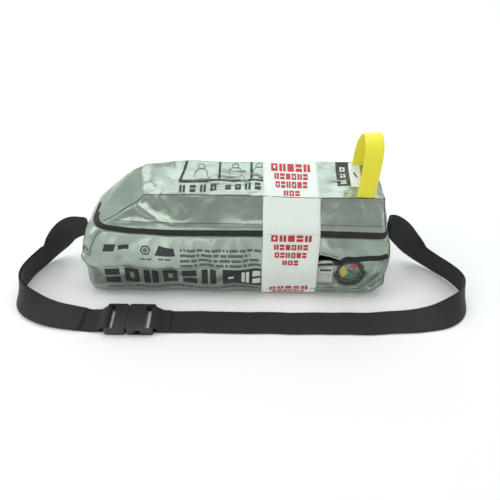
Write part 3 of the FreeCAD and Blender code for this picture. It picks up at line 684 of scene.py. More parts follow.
bagWall = makeBagWall()
lidShell = makeLidShell()
lidCols = wallCols = 2 * (bag["frontPoints"] + bag["sidePoints"] + 2 * bag["cornerPoints"])
wallStart = [(np.array(v.co), np.array(v.normal)) for v in bagWall.data.vertices]
print("shells done")


# reading places off the two shells
def treeOf(obj):
    mesh = obj.data
    return BVHTree.FromPolygons([v.co.copy() for v in mesh.vertices], [tuple(p.vertices) for p in mesh.polygons])


wallTree = treeOf(bagWall)
lidTree = treeOf(lidShell)


def onFront(x, z, off=0.3 * mm):
    # the point of the front face, body or lid, at this place along the bag and height
    tree = wallTree if z < lidLine + lineSag(x, -50 * mm) else lidTree
    hit, normal = tree.ray_cast(Vector((x, -0.3, z)), Vector((0, 1, 0)))[:2]
    if hit is None:
        hit, normal = Vector((x, frontAt(z), z)), Vector((0, -1, 0))
    if normal.y > 0:
        normal = -normal
    return np.array(hit + normal * off)


def onTop(x, y, off=0.3 * mm):
    hit, normal = lidTree.ray_cast(Vector((x, y, 0.4)), Vector((0, 0, -1)))[:2]
    if hit is None:
        hit, normal = Vector((x, y, topHeight(x, y))), Vector((0, 0, 1))
    if normal.z < 0:
        normal = -normal
    return np.array(hit + normal * off)


def onBack(x, z, off=0.3 * mm):
    tree = wallTree if z < lidLine else lidTree
    hit, normal = tree.ray_cast(Vector((x, 0.3, z)), Vector((0, -1, 0)))[:2]
    if hit is None:
        hit, normal = Vector((x, backY, z)), Vector((0, 1, 0))
    if normal.y < 0:
        normal = -normal
    return np.array(hit + normal * off)


def tube(name, points, radius, sides=6):
    points = [np.array(p, float) for p in points]
    verts = []
    for i, p in enumerate(points):
        run = unit(points[min(i + 1, len(points) - 1)] - points[max(i - 1, 0)])
        side = unit(np.cross(run, [0.12, 0.31, 0.94]))
        lift = np.cross(run, side)
        for k in range(sides):
            a = 2 * math.pi * k / sides
            verts.append(p + side * radius * math.cos(a) + lift * radius * math.sin(a))
    faces = gridFaces(len(points), sides, closeCols=True)
    faces.append(tuple(range(sides))[::-1])
    faces.append(tuple(range((len(points) - 1) * sides, len(points) * sides)))
    return addObject(name, verts, faces)


def joined(name, objects):
    verts, faces = [], []
    for obj in objects:
        start = len(verts)
        verts += [tuple(v.co) for v in obj.data.vertices]
        faces += [tuple(i + start for i in p.vertices) for p in obj.data.polygons]
        mesh = obj.data
        bpy.data.objects.remove(obj)
        bpy.data.meshes.remove(mesh)
    return addObject(name, verts, faces)


def stitches(name, points, stitch=2.6 * mm, gapShare=0.3, radius=0.35 * mm):
    # a row of separate stitches along a line
    points = [np.array(p, float) for p in points]
    lengths = [0.0]
    for a, b in zip(points, points[1:]):
        lengths.append(lengths[-1] + float(np.linalg.norm(b - a)))
    grid = np.array(points)
    at = lambda d: np.array([np.interp(d, lengths, grid[:, i]) for i in range(3)])
    pieces = []
    for k in range(int(lengths[-1] / stitch)):
        begin, end = k * stitch, (k + 1 - gapShare) * stitch
        pieces.append(tube("stitch", [at(begin), at((begin + end) / 2), at(end)], radius, 4))
    return joined(name, pieces)


# window recess, the gaping pocket mouth, and cloth thickness
gauge = dict(x=170 * mm, z=46 * mm, hole=21 * mm, dialDepth=11.0 * mm, scaleOuter=14.9 * mm, rimOuter=17.4 * mm,
             lipInner=16.6 * mm, lipOuter=21.5 * mm, lipLift=6.5 * mm, lipCrown=0.9 * mm)
window = dict(left=114 * mm, right=216 * mm, low=22 * mm, high=72 * mm, recess=8 * mm, edge=4 * mm,
              mouthLeft=114 * mm, mouthRight=158 * mm, mouthLow=62.5 * mm, mouthHigh=81 * mm)


def inMouth(x, z):
    share = (x - window["mouthLeft"]) / (window["mouthRight"] - window["mouthLeft"])
    top = window["mouthHigh"] - 7 * mm * share ** 1.5
    return 0 < share < 1 and window["mouthLow"] < z < top


def openWindow(obj):
    for vertex in obj.data.vertices:
        p = vertex.co
        if p.y > -40 * mm:
            continue
        edge = window["edge"]
        along = smoothStep(p.x, window["left"], window["left"] + edge) * smoothStep(window["right"] - p.x, 0, edge)
        up = smoothStep(p.z, window["low"], window["low"] + edge) * smoothStep(window["high"] - p.z, 0, edge)
        p.y += window["recess"] * along * up
    shell = bmesh.new()
    shell.from_mesh(obj.data)
    gone = []
    for face in shell.faces:
        c = face.calc_center_median()
        if c.y < -40 * mm and (math.hypot(c.x - gauge["x"], c.z - gauge["z"]) < gauge["hole"] or inMouth(c.x, c.z)):
            gone.append(face)
    bmesh.ops.delete(shell, geom=gone, context="FACES")
    shell.to_mesh(obj.data)
    shell.free()


def thicken(obj, thickness, offset=-1.0):
    solid = obj.modifiers.new("cloth", "SOLIDIFY")
    solid.thickness = thickness
    solid.offset = offset
    return applyModifiers(obj)


def transfinite(left, right, low, high, rows, cols):
    # a patch whose edge lies on the front of the bag
    grid = np.zeros((rows, cols, 3))
    for i in range(rows):
        v = i / (rows - 1)
        for j in range(cols):
            u = j / (cols - 1)
            x, z = left + (right - left) * u, low + (high - low) * v
            edges = ((1 - u) * onFront(left, z) + u * onFront(right, z)
                     + (1 - v) * onFront(x, low) + v * onFront(x, high))
            corners = ((1 - u) * (1 - v) * onFront(left, low) + u * (1 - v) * onFront(right, low)
                       + (1 - u) * v * onFront(left, high) + u * v * onFront(right, high))
            grid[i, j] = edges - corners
    return grid


windowFolds = [
    dict(line=[(186, -68, 22), (203, -66, 40), (212, -62, 66)], width=2.6, height=3.0),
    dict(line=[(174, -70, 24), (194, -68, 29), (215, -64, 44)], width=3, height=-2.4),
    dict(line=[(192, -68, 21), (207, -64, 32), (215, -62, 52)], width=2.2, height=2.6),
    dict(line=[(118, -66, 60), (150, -62, 58), (176, -60, 68)], width=6, height=1.4),
]


def makeWindow():
    grid = transfinite(window["left"] - 3 * mm, window["right"] + 3 * mm, window["low"] - 3 * mm,
                       window["high"] + 1 * mm, 40, 70)
    for i in range(grid.shape[0]):
        for j in range(grid.shape[1]):
            swell = math.sin(math.pi * i / (grid.shape[0] - 1)) * math.sin(math.pi * j / (grid.shape[1] - 1))
            p = Vector(grid[i, j])
            inside = min(1, 3 * swell)
            out = 1.6 * mm * swell + foldShift(p, windowFolds) * inside + wobble(p, 18 * mm, 0.9 * mm) * inside
            grid[i, j] += np.array([0, -0.97, 0.24]) * out
    obj = thicken(gridObject("windowSheet", grid), 0.4 * mm, 0)
    finishPiece(obj, finishes["clear_window"], "bag", "clear_window", "gauge_window")


def alongFront(points, off):
    return [onFront(x * mm, z * mm, off) for x, z in points]


def frontTape(name, points, width, thickness, off, material):
    # tape laid flat on the front, along places given as (x, z) in mm
    line = smoothLine([(x * mm, 0, z * mm) for x, z in points], 3 * mm)
    centres = [onFront(p[0], p[2], off) for p in line]
    across, normals = [], []
    for i in range(len(centres)):
        run = unit(centres[min(i + 1, len(centres) - 1)] - centres[max(i - 1, 0)])
        normal = unit(np.array([0, -0.97, 0.25]) - run * np.dot(run, [0, -0.97, 0.25]))
        normals.append(normal)
        across.append(np.cross(run, normal))
    obj = sweep(name, centres, across, normals, tapeRing(width, thickness, 6))
    paint(obj, material)
    return obj


makeWindow()
openWindow(bagWall)
pocketTape = frontTape("pocketTape", [(150, 66), (154, 72), (160, 75.5), (172, 74.5), (190, 74.5), (208, 75.5),
                                      (221, 79)],
                       7.5 * mm, 1.4 * mm, 1.2 * mm, finishes["black_binding"])
lowerTape = frontTape("lowerTape", [(116, 63.5), (132, 64), (146, 64.5), (156, 68)], 4 * mm, 1.0 * mm, -1.5 * mm,
                      finishes["black_binding"])
windowHem = joined("windowHem", [
    tube("hem",
         alongFront([(112, 20), (140, 18.5), (172, 18.5), (186, 22), (200, 32), (212, 46), (219, 62), (221, 76)],
                    0.6 * mm), 0.9 * mm),
    tube("lip", alongFront([(114, 82), (124, 81.5), (136, 80), (148, 77), (158, 73.5)], -0.4 * mm), 1.8 * mm)])
finishPiece(windowHem, finishes["coated_fabric"], "bag", "coated_fabric")
# the clear vinyl's rolled lip at the pocket mouth, coloured pale and glossy as a painted glint
rolledEdgeGlint = tube("rolledEdgeGlint", alongFront([(121, 68), (127, 69.2), (134, 69.4), (141, 68.4)], -2.0 * mm), 1.5 * mm)
finishPiece(rolledEdgeGlint, plainFinish("paintedGlintVinyl", (0.80, 0.84, 0.82), 0.12, grain=0.5 * mm, depth=0.02 * mm,
                                    wear=0.03, coat=0.6),
            "bag", "clear_window")
pocketTape = joined("pocketBinding", [pocketTape, lowerTape])
finishPiece(pocketTape, finishes["black_binding"], "bag", "black_binding", "window_binding")
print("window done")


# binding tape round the lid's lower edge, seams and hem stitches
def lidPoint(row, col):
    return np.array(lidShell.data.vertices[row * lidCols + col % lidCols].co)


def lidNormal(row, col):
    return np.array(lidShell.data.vertices[row * lidCols + col % lidCols].normal)


def makeLidBinding():
    backStart = bag["frontPoints"] + bag["cornerPoints"] + bag["sidePoints"] - 4
    backEnd = lidCols - bag["cornerPoints"] - bag["sidePoints"] + 4
    columns = list(range(backEnd, lidCols)) + list(range(0, backStart))
    outline = [(-0.4, 0.1), (-0.6, 1.2), (1.0, 1.7), (3.0, 1.8), (5.0, 1.7), (7.2, 1.4), (7.9, 0.9), (7.8, 0.2)]
    leftEndCols = lidCols - bag["cornerPoints"] - 2
    verts, uv, run, last = [], [], 0.0, None
    for col in columns:
        foot, above = lidPoint(0, col), lidPoint(3, col)
        up = unit(above - foot)
        level = unit(np.cross(up, unit(lidPoint(0, col - 1) - lidPoint(0, col + 1))))
        if np.dot(level, foot - np.array([0, 10 * mm, foot[2]])) < 0:
            level = -level
        if last is not None:
            run += float(np.linalg.norm(foot - last))
        last = foot
        tuck = 0.35 if backEnd <= col < leftEndCols else 1.0   # the sloping left end hangs over the tape
        for rise, off in outline:
            verts.append(foot + up * rise * tuck * mm + level * off * mm)
            uv.append((run, rise * mm))
    obj = addObject("lidBinding", verts, gridFaces(len(columns), len(outline), closeCols=True))
    setUv(obj, uv)
    finishPiece(obj, finishes["black_binding"], "lid", "black_binding", "lid_binding")


makeLidBinding()
cornerMid = bag["cornerPoints"] // 2
leftCorner, rightCorner = lidCols - cornerMid, bag["frontPoints"] + cornerMid
frontCols = list(range(leftCorner - lidCols, rightCorner + 1))
rises = lidShape["rises"]


def cornerSeam(name, column):
    places = [lidPoint(r, column) + lidNormal(r, column) * 0.25 * mm for r in range(3, rises + 1)]
    return tube(name, places, 0.55 * mm, 5)


lidSeams = joined("lidSeams", [
    tube("top", [lidPoint(rises, c) + lidNormal(rises, c) * 0.25 * mm for c in frontCols], 0.55 * mm, 5),
    cornerSeam("leftEnd", leftCorner), cornerSeam("rightEnd", rightCorner),
    stitches("hem", [lidPoint(6, c) + lidNormal(6, c) * 0.2 * mm for c in frontCols[2:-2]], 2.4 * mm, 0.15,
             0.38 * mm)])
finishPiece(lidSeams, threadDark, "lid", "coated_fabric")


def wallPoint(row, col):
    vertex = wallStart[(bag["floorRings"] + row) * wallCols + col % wallCols]
    return vertex


def wallSeam(cells):
    places = []
    for row, col in cells:
        p, n = wallPoint(row, col)
        places.append(p + n * 0.3 * mm)
    return places


leftWallCorner = wallCols - cornerMid
rightWallCorner = bag["frontPoints"] + cornerMid
wallSeams = joined("wallSeams", [
    tube("leftFront", wallSeam([(r, leftWallCorner + 2) for r in range(19, 30)]), 0.5 * mm, 5),
    tube("leftTuck", wallSeam([(19, c) for c in range(leftWallCorner - 9, leftWallCorner + 3)]), 0.5 * mm, 5),
    tube("leftEnd", wallSeam([(r, leftWallCorner - 8) for r in range(1, 17)]), 0.45 * mm, 5),
    tube("rightFront", wallSeam([(r, rightWallCorner + 1) for r in range(1, 30)]), 0.45 * mm, 5)])
finishPiece(wallSeams, threadDark, "bag", "coated_fabric")
print("binding and seams done")


# printed marks: plain blocks and bars laid on the cloth
def printed(name, shapes, place):
    # each shape is four corners (u, v) in mm, laid on the surface as a small grid
    verts, faces, cell = [], [], 1.7 * mm
    for corners in shapes:
        a, b, c, d = [np.array(p, float) * mm for p in corners]
        cols = max(1, int(np.linalg.norm(b - a) / cell)) + 1
        rows = max(1, int(np.linalg.norm(d - a) / cell)) + 1
        start = len(verts)
        for i in range(rows):
            for j in range(cols):
                s, t = j / (cols - 1), i / (rows - 1)
                p = (a * (1 - s) + b * s) * (1 - t) + (d * (1 - s) + c * s) * t
                verts.append(place(p[0], p[1]))
        for i in range(rows - 1):
            for j in range(cols - 1):
                k = start + i * cols + j
                faces.append((k, k + 1, k + cols + 1, k + cols))
    return addObject(name, verts, faces)


def block(x0, v0, x1, v1):
    return [(x0, v0), (x1, v0), (x1, v1), (x0, v1)]


def ringShapes(x, v, outer, inner, sides=6, start=0.0, sweepAngle=360.0):
    shapes = []
    for k in range(sides):
        a, b = (math.radians(start + sweepAngle * (k + i) / sides) for i in (0, 1))
        at = lambda r, angle: (x + r * math.cos(angle), v + r * math.sin(angle))
        shapes.append([at(inner, a), at(outer, a), at(outer, b), at(inner, b)])
    return shapes


def glyph(kind, x, v, w, h):
    # greeked characters: a solid block, a block with a slit, a block with an eye, or two bars
    if kind == "slit":
        return [block(x, v, x + w * 0.42, v + h), block(x + w * 0.58, v, x + w, v + h)]
    if kind == "bars":
        return [block(x, v, x + w, v + h * 0.42), block(x, v + h * 0.58, x + w, v + h)]
    if kind == "eye":
        return [block(x, v, x + w, v + h * 0.28), block(x, v + h * 0.72, x + w, v + h),
                block(x, v + h * 0.28, x + w * 0.34, v + h * 0.72),
                block(x + w * 0.66, v + h * 0.28, x + w, v + h * 0.72)]
    return [block(x, v, x + w, v + h)]


def wordOf(kinds, x, v, w, h, space):
    shapes = []
    for k, kind in enumerate(kinds):
        shapes += glyph(kind, x + k * (w + space), v, w, h)
    return shapes


def textLine(x0, x1, v, height, words):
    # a line of small text shown as bars, one for each word
    shapes, x = [], x0
    k = 0
    while x < x1:
        length = words[k % len(words)]
        shapes.append(block(x, v, min(x + length, x1), v + height))
        x += length + 2.2
        k += 1
    return shapes


frontMarks = dict(wordLeft=-195, wordLow=29, letter=21.5, letterHeight=25.5, letterSpace=7.2)
bold = wordOf(["bars", "eye", "slit", "eye", "bars", "slit"], frontMarks["wordLeft"], frontMarks["wordLow"],
              frontMarks["letter"], frontMarks["letterHeight"], frontMarks["letterSpace"])
bold += [block(-20, 27, 37, 56)]
emblem = [[(-194, 84), (-178, 84), (-174, 95), (-190, 95)], block(-171, 86, -156, 92.5)]
emblem += ringShapes(-132, 86, 7.6, 5.6) + ringShapes(-132, 86, 3.2, 1.2)
emblem += [[(-119, 77.5), (-89, 77.5), (-91, 88), (-112, 92)]]
emblem += [block(-140, 71.5, -133, 73.2), block(-131, 71.5, -124, 73.2), block(-114, 71.5, -106, 73.2),
           block(-104, 71.5, -96, 73.2)]
small = textLine(-82, 36, 83.6, 3.6, [3, 3, 12, 9, 8, 14]) + textLine(-82, 20, 75.6, 4.0, [22, 4, 16, 8, 9])
small += textLine(-82, 33, 67.8, 4.0, [14, 8, 20, 6, 16]) + textLine(-82, 36, 60.2, 4.0, [18, 5, 22, 12, 4])
small += textLine(-195, 37, 15.5, 5.2, [26, 9, 24, 30, 18, 12])
rule = [block(-195, 57.6, -24, 58.2), block(-195, 24.6, 37, 25.1)]
inkGrey = plainFinish("inkGrey", (0.10, 0.115, 0.10), 0.5, grain=0.5 * mm, depth=0.02 * mm, wear=0.2)
frontInk = lambda x, z: onFront(x, z, 0.42 * mm)
finishPiece(printed("frontWord", bold + emblem, frontInk), inkBlack, "bag", "coated_fabric")
finishPiece(printed("frontSmallPrint", small + rule, frontInk), inkGrey, "bag", "coated_fabric")
pale = [block(-12, 38, -4, 42.5)] + glyph("slit", 8, 31, 11, 21) + glyph("bars", 24, 31, 12, 21)
finishPiece(printed("frontPaleMarks", pale, lambda x, z: onFront(x, z, 0.62 * mm)), inkPale, "bag", "coated_fabric")

topInk = lambda x, y: onTop(x, y, 0.38 * mm)
frameBars = [block(-86, 16.8, 38, 21.2), [(-86, 21), (-82, 21), (-74, 60), (-78, 60)], block(-28, 21, -24.6, 60),
             block(19, 21, 22.4, 60)]
for left, right in ((-82, -28), (-24.6, 19), (22.4, 38)):
    frameBars += [[(left, 21), (left + 4.5, 21), (left + 0.9, 22.6), (left, 25.5)],
                  [(right - 4.5, 21), (right, 21), (right, 25.5), (right - 0.9, 22.6)]]
topWord = wordOf(["slit", "bars", "slit", "eye"], -84, -0.5, 8.6, 12.6, 6.6)
topWord += wordOf(["bars", "eye", "slit", "bars"], -17, -0.5, 8.6, 12.6, 5.6)
sideBlock = [block(147, 14, 166, 60)]
finishPiece(printed("topPrint", frameBars + topWord + sideBlock, topInk), inkBlack, "lid", "coated_fabric")
figures = []
for x in (-54, -3, 32):
    figures += ringShapes(x, 49, 5.4, 4.3, 12) + ringShapes(x, 36, 9.7, 8.6, 8, 15, 150)
    figures += [block(x - 9.8, 28, x - 8.7, 38), block(x + 8.7, 28, x + 9.8, 38)]
    figures += [block(x + 12, 25.5, x + 14, 27.5)]
bandEdge = 38   # the rest lies under the tamper band
figures = [shape for shape in figures if max(p[0] for p in shape) < bandEdge]
finishPiece(printed("topFigures", figures, topInk), inkGrey, "lid", "coated_fabric")
paleTop = []
for k in range(3):
    paleTop += glyph(["bars", "slit", "eye"][k], 152.5, 18 + 13 * k, 8, 8)
finishPiece(printed("topPaleMarks", paleTop, lambda x, y: onTop(x, y, 0.58 * mm)), inkPale, "lid", "coated_fabric")
label = printed("topLabel", [block(166.5, 11, 183, 58)], lambda x, y: onTop(x, y, 0.35 * mm))
finishPiece(label, finishes["tamper_band"], "lid", "tamper_band")
finishPiece(printed("labelMark", [[(176, 30), (178, 30), (174, 42), (172, 40)]], lambda x,
                    y: onTop(x, y, 0.5 * mm)), inkBlack, "lid", "coated_fabric")
print("prints done")


# tamper band, pulled tight round the closed bag
band = dict(left=bandLeft, right=bandRight, foot=4 * mm, thickness=0.25 * mm, off=0.7 * mm, rows=150, columns=18)


def hullLine(points):
    # the taut outline over a set of (y, z) points, from the front foot over the top to the back foot
    points = sorted(set((round(y, 6), round(z, 6)) for y, z in points))
    upper = []
    for p in reversed(points):
        while len(upper) >= 2 and ((upper[-1][0] - upper[-2][0]) * (p[1] - upper[-2][1])
                                   - (upper[-1][1] - upper[-2][1]) * (p[0] - upper[-2][0])) <= 0:
            upper.pop()
        upper.append(p)
    return upper[::-1]


def bandProfile(x):
    places = []
    for z in np.arange(band["foot"], 148 * mm, 3 * mm):
        p, q = onFront(x, z, band["off"]), onBack(x, z, band["off"])
        places += [(p[1], p[2]), (q[1], q[2])]
    for z in (lidLine + 1 * mm, lidLine + 7 * mm):
        p = onFront(x, z, 2.4 * mm)
        places.append((p[1], p[2]))
    for y in np.arange(-12 * mm, 60 * mm, 3 * mm):
        p = onTop(x, y, band["off"])
        places.append((p[1], p[2]))
    belly = min(places)
    foot = min((p for p in places if p[0] < 0), key=lambda p: p[1])
    heel = min((p for p in places if p[0] > 0), key=lambda p: p[1])
    line = hullLine(places)
    line = [p for p in line if p[1] >= min(belly[1], line[0][1])]
    if foot[1] < line[0][1]:
        line = [foot] + line
    if heel[1] < line[-1][1]:
        line = line + [heel]
    return line


def resampled(line, count):
    line = np.array(line)
    lengths = np.concatenate([[0], np.cumsum(np.linalg.norm(np.diff(line, axis=0), axis=1))])
    at = np.linspace(0, lengths[-1], count)
    return np.stack([np.interp(at, lengths, line[:, i]) for i in range(2)], axis=1), float(lengths[-1])


def clearOfCloth(p):
    x, y, z = p
    if y < -15 * mm and z < lidTop - 12 * mm:
        y = min(y, onFront(x, z, band["off"])[1])
    elif y > 30 * mm and z < lidTop - 12 * mm:
        y = max(y, onBack(x, z, band["off"])[1])
    elif z > lidTop - 25 * mm:
        z = max(z, onTop(x, y, band["off"])[2])
    return np.array([x, y, z])


def makeBand():
    xs = np.linspace(band["left"], band["right"], band["columns"])
    lines = [resampled(bandProfile(x), band["rows"]) for x in xs]
    profileMean = np.mean([l[0] for l in lines], axis=0)
    grid = np.zeros((band["rows"], len(xs), 3))
    for j, x in enumerate(xs):
        own = lines[j][0]
        for i in range(band["rows"]):
            y, z = 0.5 * own[i] + 0.5 * profileMean[i]
            lift = wobble((x, y, z), 24 * mm, 0.35 * mm)
            grid[i, j] = (x + 0.3 * mm * math.sin(i * 0.21), y, z)
            grid[i, j, 1] -= abs(lift) if y < 0 else 0
            grid[i, j] = clearOfCloth(grid[i, j])
    length = float(np.mean([l[1] for l in lines]))
    zs, ys = grid[:, :, 2].mean(axis=1), grid[:, :, 1].mean(axis=1)
    front = [i for i in range(band["rows"]) if ys[i] < 0 and zs[i] < lidLine + 0.2 * mm]
    rear = [i for i in range(band["rows"]) if ys[i] > 20 * mm and zs[i] < lidLine + 0.2 * mm]
    parts = dict(Lower=(0, max(front) + 1), Upper=(max(front), min(rear) + 1), Rear=(min(rear), band["rows"]))
    bodies = dict(Lower="bag", Upper="lid", Rear="bag")
    pieces = {}
    for name, (start, stop) in parts.items():
        strip = grid[start:stop]
        obj = thicken(gridObject("band" + name, strip), band["thickness"], 1.0)
        finishPiece(obj, finishes["tamper_band"], bodies[name], "tamper_band", "seal_band_" + name.lower())
        pieces[name] = obj
    print("band of", round(length * 1000), "mm")
    return pieces


bandPieces = makeBand()
bandTree = {name: treeOf(obj) for name, obj in bandPieces.items()}


def onBandFront(tree):
    def place(x, z):
        hit = tree.ray_cast(Vector((x, -0.3, z)), Vector((0, 1, 0)))[0]
        if hit is None:
            return np.array([x, frontAt(z) - 1.5 * mm, z])
        return np.array(hit) + np.array([0, -0.3 * mm, 0.1 * mm])
    return place


def onBandTop(x, y):
    hit = bandTree["Upper"].ray_cast(Vector((x, y, 0.4)), Vector((0, 0, -1)))[0]
    if hit is None:
        return np.array([x, y, lidTop])
    return np.array(hit) + np.array([0, 0, 0.3 * mm])


bandMarks = dict(centre=79, lines=[(["eye", "slit", "block", "bars", "slit"], 58),
                                   (["slit", "bars", "block", "eye", "slit", "bars"], 49),
                                   (["eye", "bars", "slit", "eye", "block", "bars"], 46),
                                   (["slit", "eye", "bars"], 23)])


def bandLine(kinds, width, v, height):
    space = width / len(kinds) * 0.22
    w = (width - space * (len(kinds) - 1)) / len(kinds)
    return wordOf(kinds, bandMarks["centre"] - width / 2, v, w, height, space)


topPlaces = [(37, 16), (21, 12), (5, 12), (-9.5, 9.5)]
frontPlaces = [(101.5, 9.5), (89.0, 8.0), (77.0, 8.0), (65.5, 7.8)]
footPlaces = [(16.0, 9.0), (7.0, 6.0)]
topRed, frontRed, footRed = [], [], []
for (kinds, width), (v, h) in zip(bandMarks["lines"], topPlaces):
    topRed += bandLine(kinds, width, v, h)
for (kinds, width), (v, h) in zip(bandMarks["lines"], frontPlaces):
    frontRed += bandLine(kinds, width, v, h)
for (kinds, width), (v, h) in zip(bandMarks["lines"], footPlaces):
    footRed += bandLine(kinds, width, v, h)
finishPiece(printed("bandTopPrint", topRed, onBandTop), inkRed, "lid", "tamper_band")
finishPiece(printed("bandFrontPrint", frontRed + footRed, onBandFront(bandTree["Lower"])), inkRed, "bag",
            "tamper_band")
print("band done")


# straps
web = dict(width=40 * mm, thickness=1.7 * mm, lift=0.3 * mm, buckleY=-124 * mm, step=3.5 * mm)
rightRoute = [(-327, -124, None, 0), (-170, -124, None, 0), (-90, -123.5, None, 1), (-30, -123, None, 2),
              (30, -119, None, 5), (68, -115, None, 14),
              (90, -108, None, 30), (106, -98, None, 50), (116, -84, None, 68), (120, -68, None, 80),
              (116, -51, None, 84),
              (104, -33, None, 84), (84, -12, None, 86), (62, 4, 27, 88), (42, 8, 48, 90), (24, 7, 70, 90),
              (10, 5, 81.5, 90),
              (2.9, 2, 84, 90), (2.3, -8, 84, 90), (2.3, -18, 84, 90)]
leftRoute = [(-19, -124, None, 0), (4, -122, None, 5), (40, -117, None, 12), (66, -109, None, 24),
             (84, -99, None, 42), (95, -86, None, 62),
             (100, -70, None, 78), (99, -52, None, 84), (92, -31, None, 84), (80, -9, None, 86), (66, 5, 30, 88),
             (46, 9, 54, 90),
             (26, 7, 69, 90), (11, 4, 72, 90), (2.9, 2, 72, 90), (2.3, -8, 72, 90), (2.3, -18, 72, 90)]


def strapFrames(route, offset, waviness, seed):
    # centre, across and face of the webbing along a route of (beyond the bag's end, y, height or None for lying, twist)
    points = []
    for beyond, y, height, twist in route:
        turn = math.radians(twist)
        if height is None:
            half = math.sin(turn) * web["width"] / 2 + math.cos(turn) * web["thickness"] / 2
            height = (web["lift"] + half) / mm + 0.1
        points.append((rightX / mm + beyond, y, height, twist))
    line = smoothLine(points, web["step"] / mm)
    centres, across, normals = [], [], []
    for i, (x, y, z, twist) in enumerate(line):
        run = unit(line[min(i + 1, len(line) - 1)][:3] - line[max(i - 1, 0)][:3])
        level = unit(np.array([-run[1], run[0], 0]))
        turn = math.radians(twist)
        side = level * math.cos(turn) + np.cross(run, level) * math.sin(turn)
        face = np.cross(run, side)
        fade = min(1, i / 12, (len(line) - 1 - i) / 12)
        shake = waviness * fade * noise.noise(Vector((x / 46 + seed, y / 46, z / 46)))
        lift = abs(waviness * fade * 0.5 * noise.noise(Vector((x / 30, y / 30, seed)))) * math.cos(turn)
        centre = np.array([x, y + shake * math.cos(turn), z + lift]) * mm + face * offset
        centres.append(centre)
        across.append(side)
        normals.append(face)
    return centres, across, normals


def strapPiece(name, centres, across, normals, side, replaced):
    ring = tapeRing(web["width"], web["thickness"])
    if side < 0:
        centres = [np.array([-c[0], c[1], c[2]]) for c in centres]
        across = [np.array([-a[0], a[1], a[2]]) for a in across]
        normals = [np.array([-n[0], n[1], n[2]]) for n in normals]
    obj = sweep(name, centres, across, normals, ring)
    for vertex in obj.data.vertices:
        vertex.co.z = max(vertex.co.z, 0.15 * mm)
    finishPiece(obj, finishes["black_webbing"], "bag", "black_webbing", replaced)
    return obj


def foldRoundBar(bar):
    # webbing turned round a buckle's bar, then sewn down on itself; places along X from the bar's near face, mm
    places = [(26, 3.5), (15, 3.9), (9.5, 7.6), (5, 11.0), (2, 11.7), (-0.4, 11.0), (-1.5, 8.6), (-1.6, 5.0),
              (-1.0, 2.6),
              (0.8, 1.7), (6, 1.6), (14, 1.6)]
    line = smoothLine([(bar + x, 0, z) for x, z in places], 1.5)
    centres, across, normals = [], [], []
    for i, p in enumerate(line):
        run = unit(line[min(i + 1, len(line) - 1)] - line[max(i - 1, 0)])
        centres.append(np.array([p[0], web["buckleY"] / mm, p[2]]) * mm)
        across.append(np.array([0, 1, 0]))
        normals.append(np.cross(run, [0, 1, 0]))
    return centres, across, normals


def makeStraps():
    fold = foldRoundBar(-122)
    route = strapFrames(rightRoute, 0.0, 1.6, 0.7)
    strapPiece("strapRight", *[a + b for a, b in zip(fold, route)], 1, "strap_right")
    fold = foldRoundBar(186)
    route = strapFrames(leftRoute, 0.0, 0.8, 4.1)
    strapPiece("strapLeft", *[a + b for a, b in zip(fold, route)], -1, "strap_left")
    tail = strapFrames([(-2, -123, None, 3)] + leftRoute[2:10], web["thickness"] + 0.9 * mm, 0.8, 4.1)
    strapPiece("strapTail", *tail, -1, "strap_tail")


makeStraps()


def onEnd(y, z, side, off):
    hit = wallTree.ray_cast(Vector((side * 0.4, y, z)), Vector((-side, 0, 0)))[0]
    if hit is None or hit.x * side < 0.15:
        hit = wallTree.find_nearest(Vector((side * rightX, y, z)))[0]
    return np.array([hit.x + side * off, y, z])


def sewnPatch(name, node, side):
    a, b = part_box(node)
    rows, cols = 20, 20
    grid = np.zeros((rows, cols, 3))
    for i in range(rows):
        for j in range(cols):
            y, z = a[1] + (b[1] - a[1]) * j / (cols - 1), a[2] + (b[2] - a[2]) * i / (rows - 1)
            edge = min(i, j, rows - 1 - i, cols - 1 - j)
            grid[i, j] = onEnd(y, z, side, 0.5 * mm + (0.0 if edge in (0, 2) else 0.35 * mm))
    obj = thicken(gridObject(name, grid), 0.8 * mm, 0)
    finishPiece(obj, finishes["coated_fabric"], "bag", "coated_fabric", node)


sewnPatch("patchLeft", "left_strap_patch", -1)
sewnPatch("patchRight", "right_strap_patch", 1)
print("straps done")


# pull loop
loop = dict(width=26 * mm, thickness=1.8 * mm, twist=4.0)


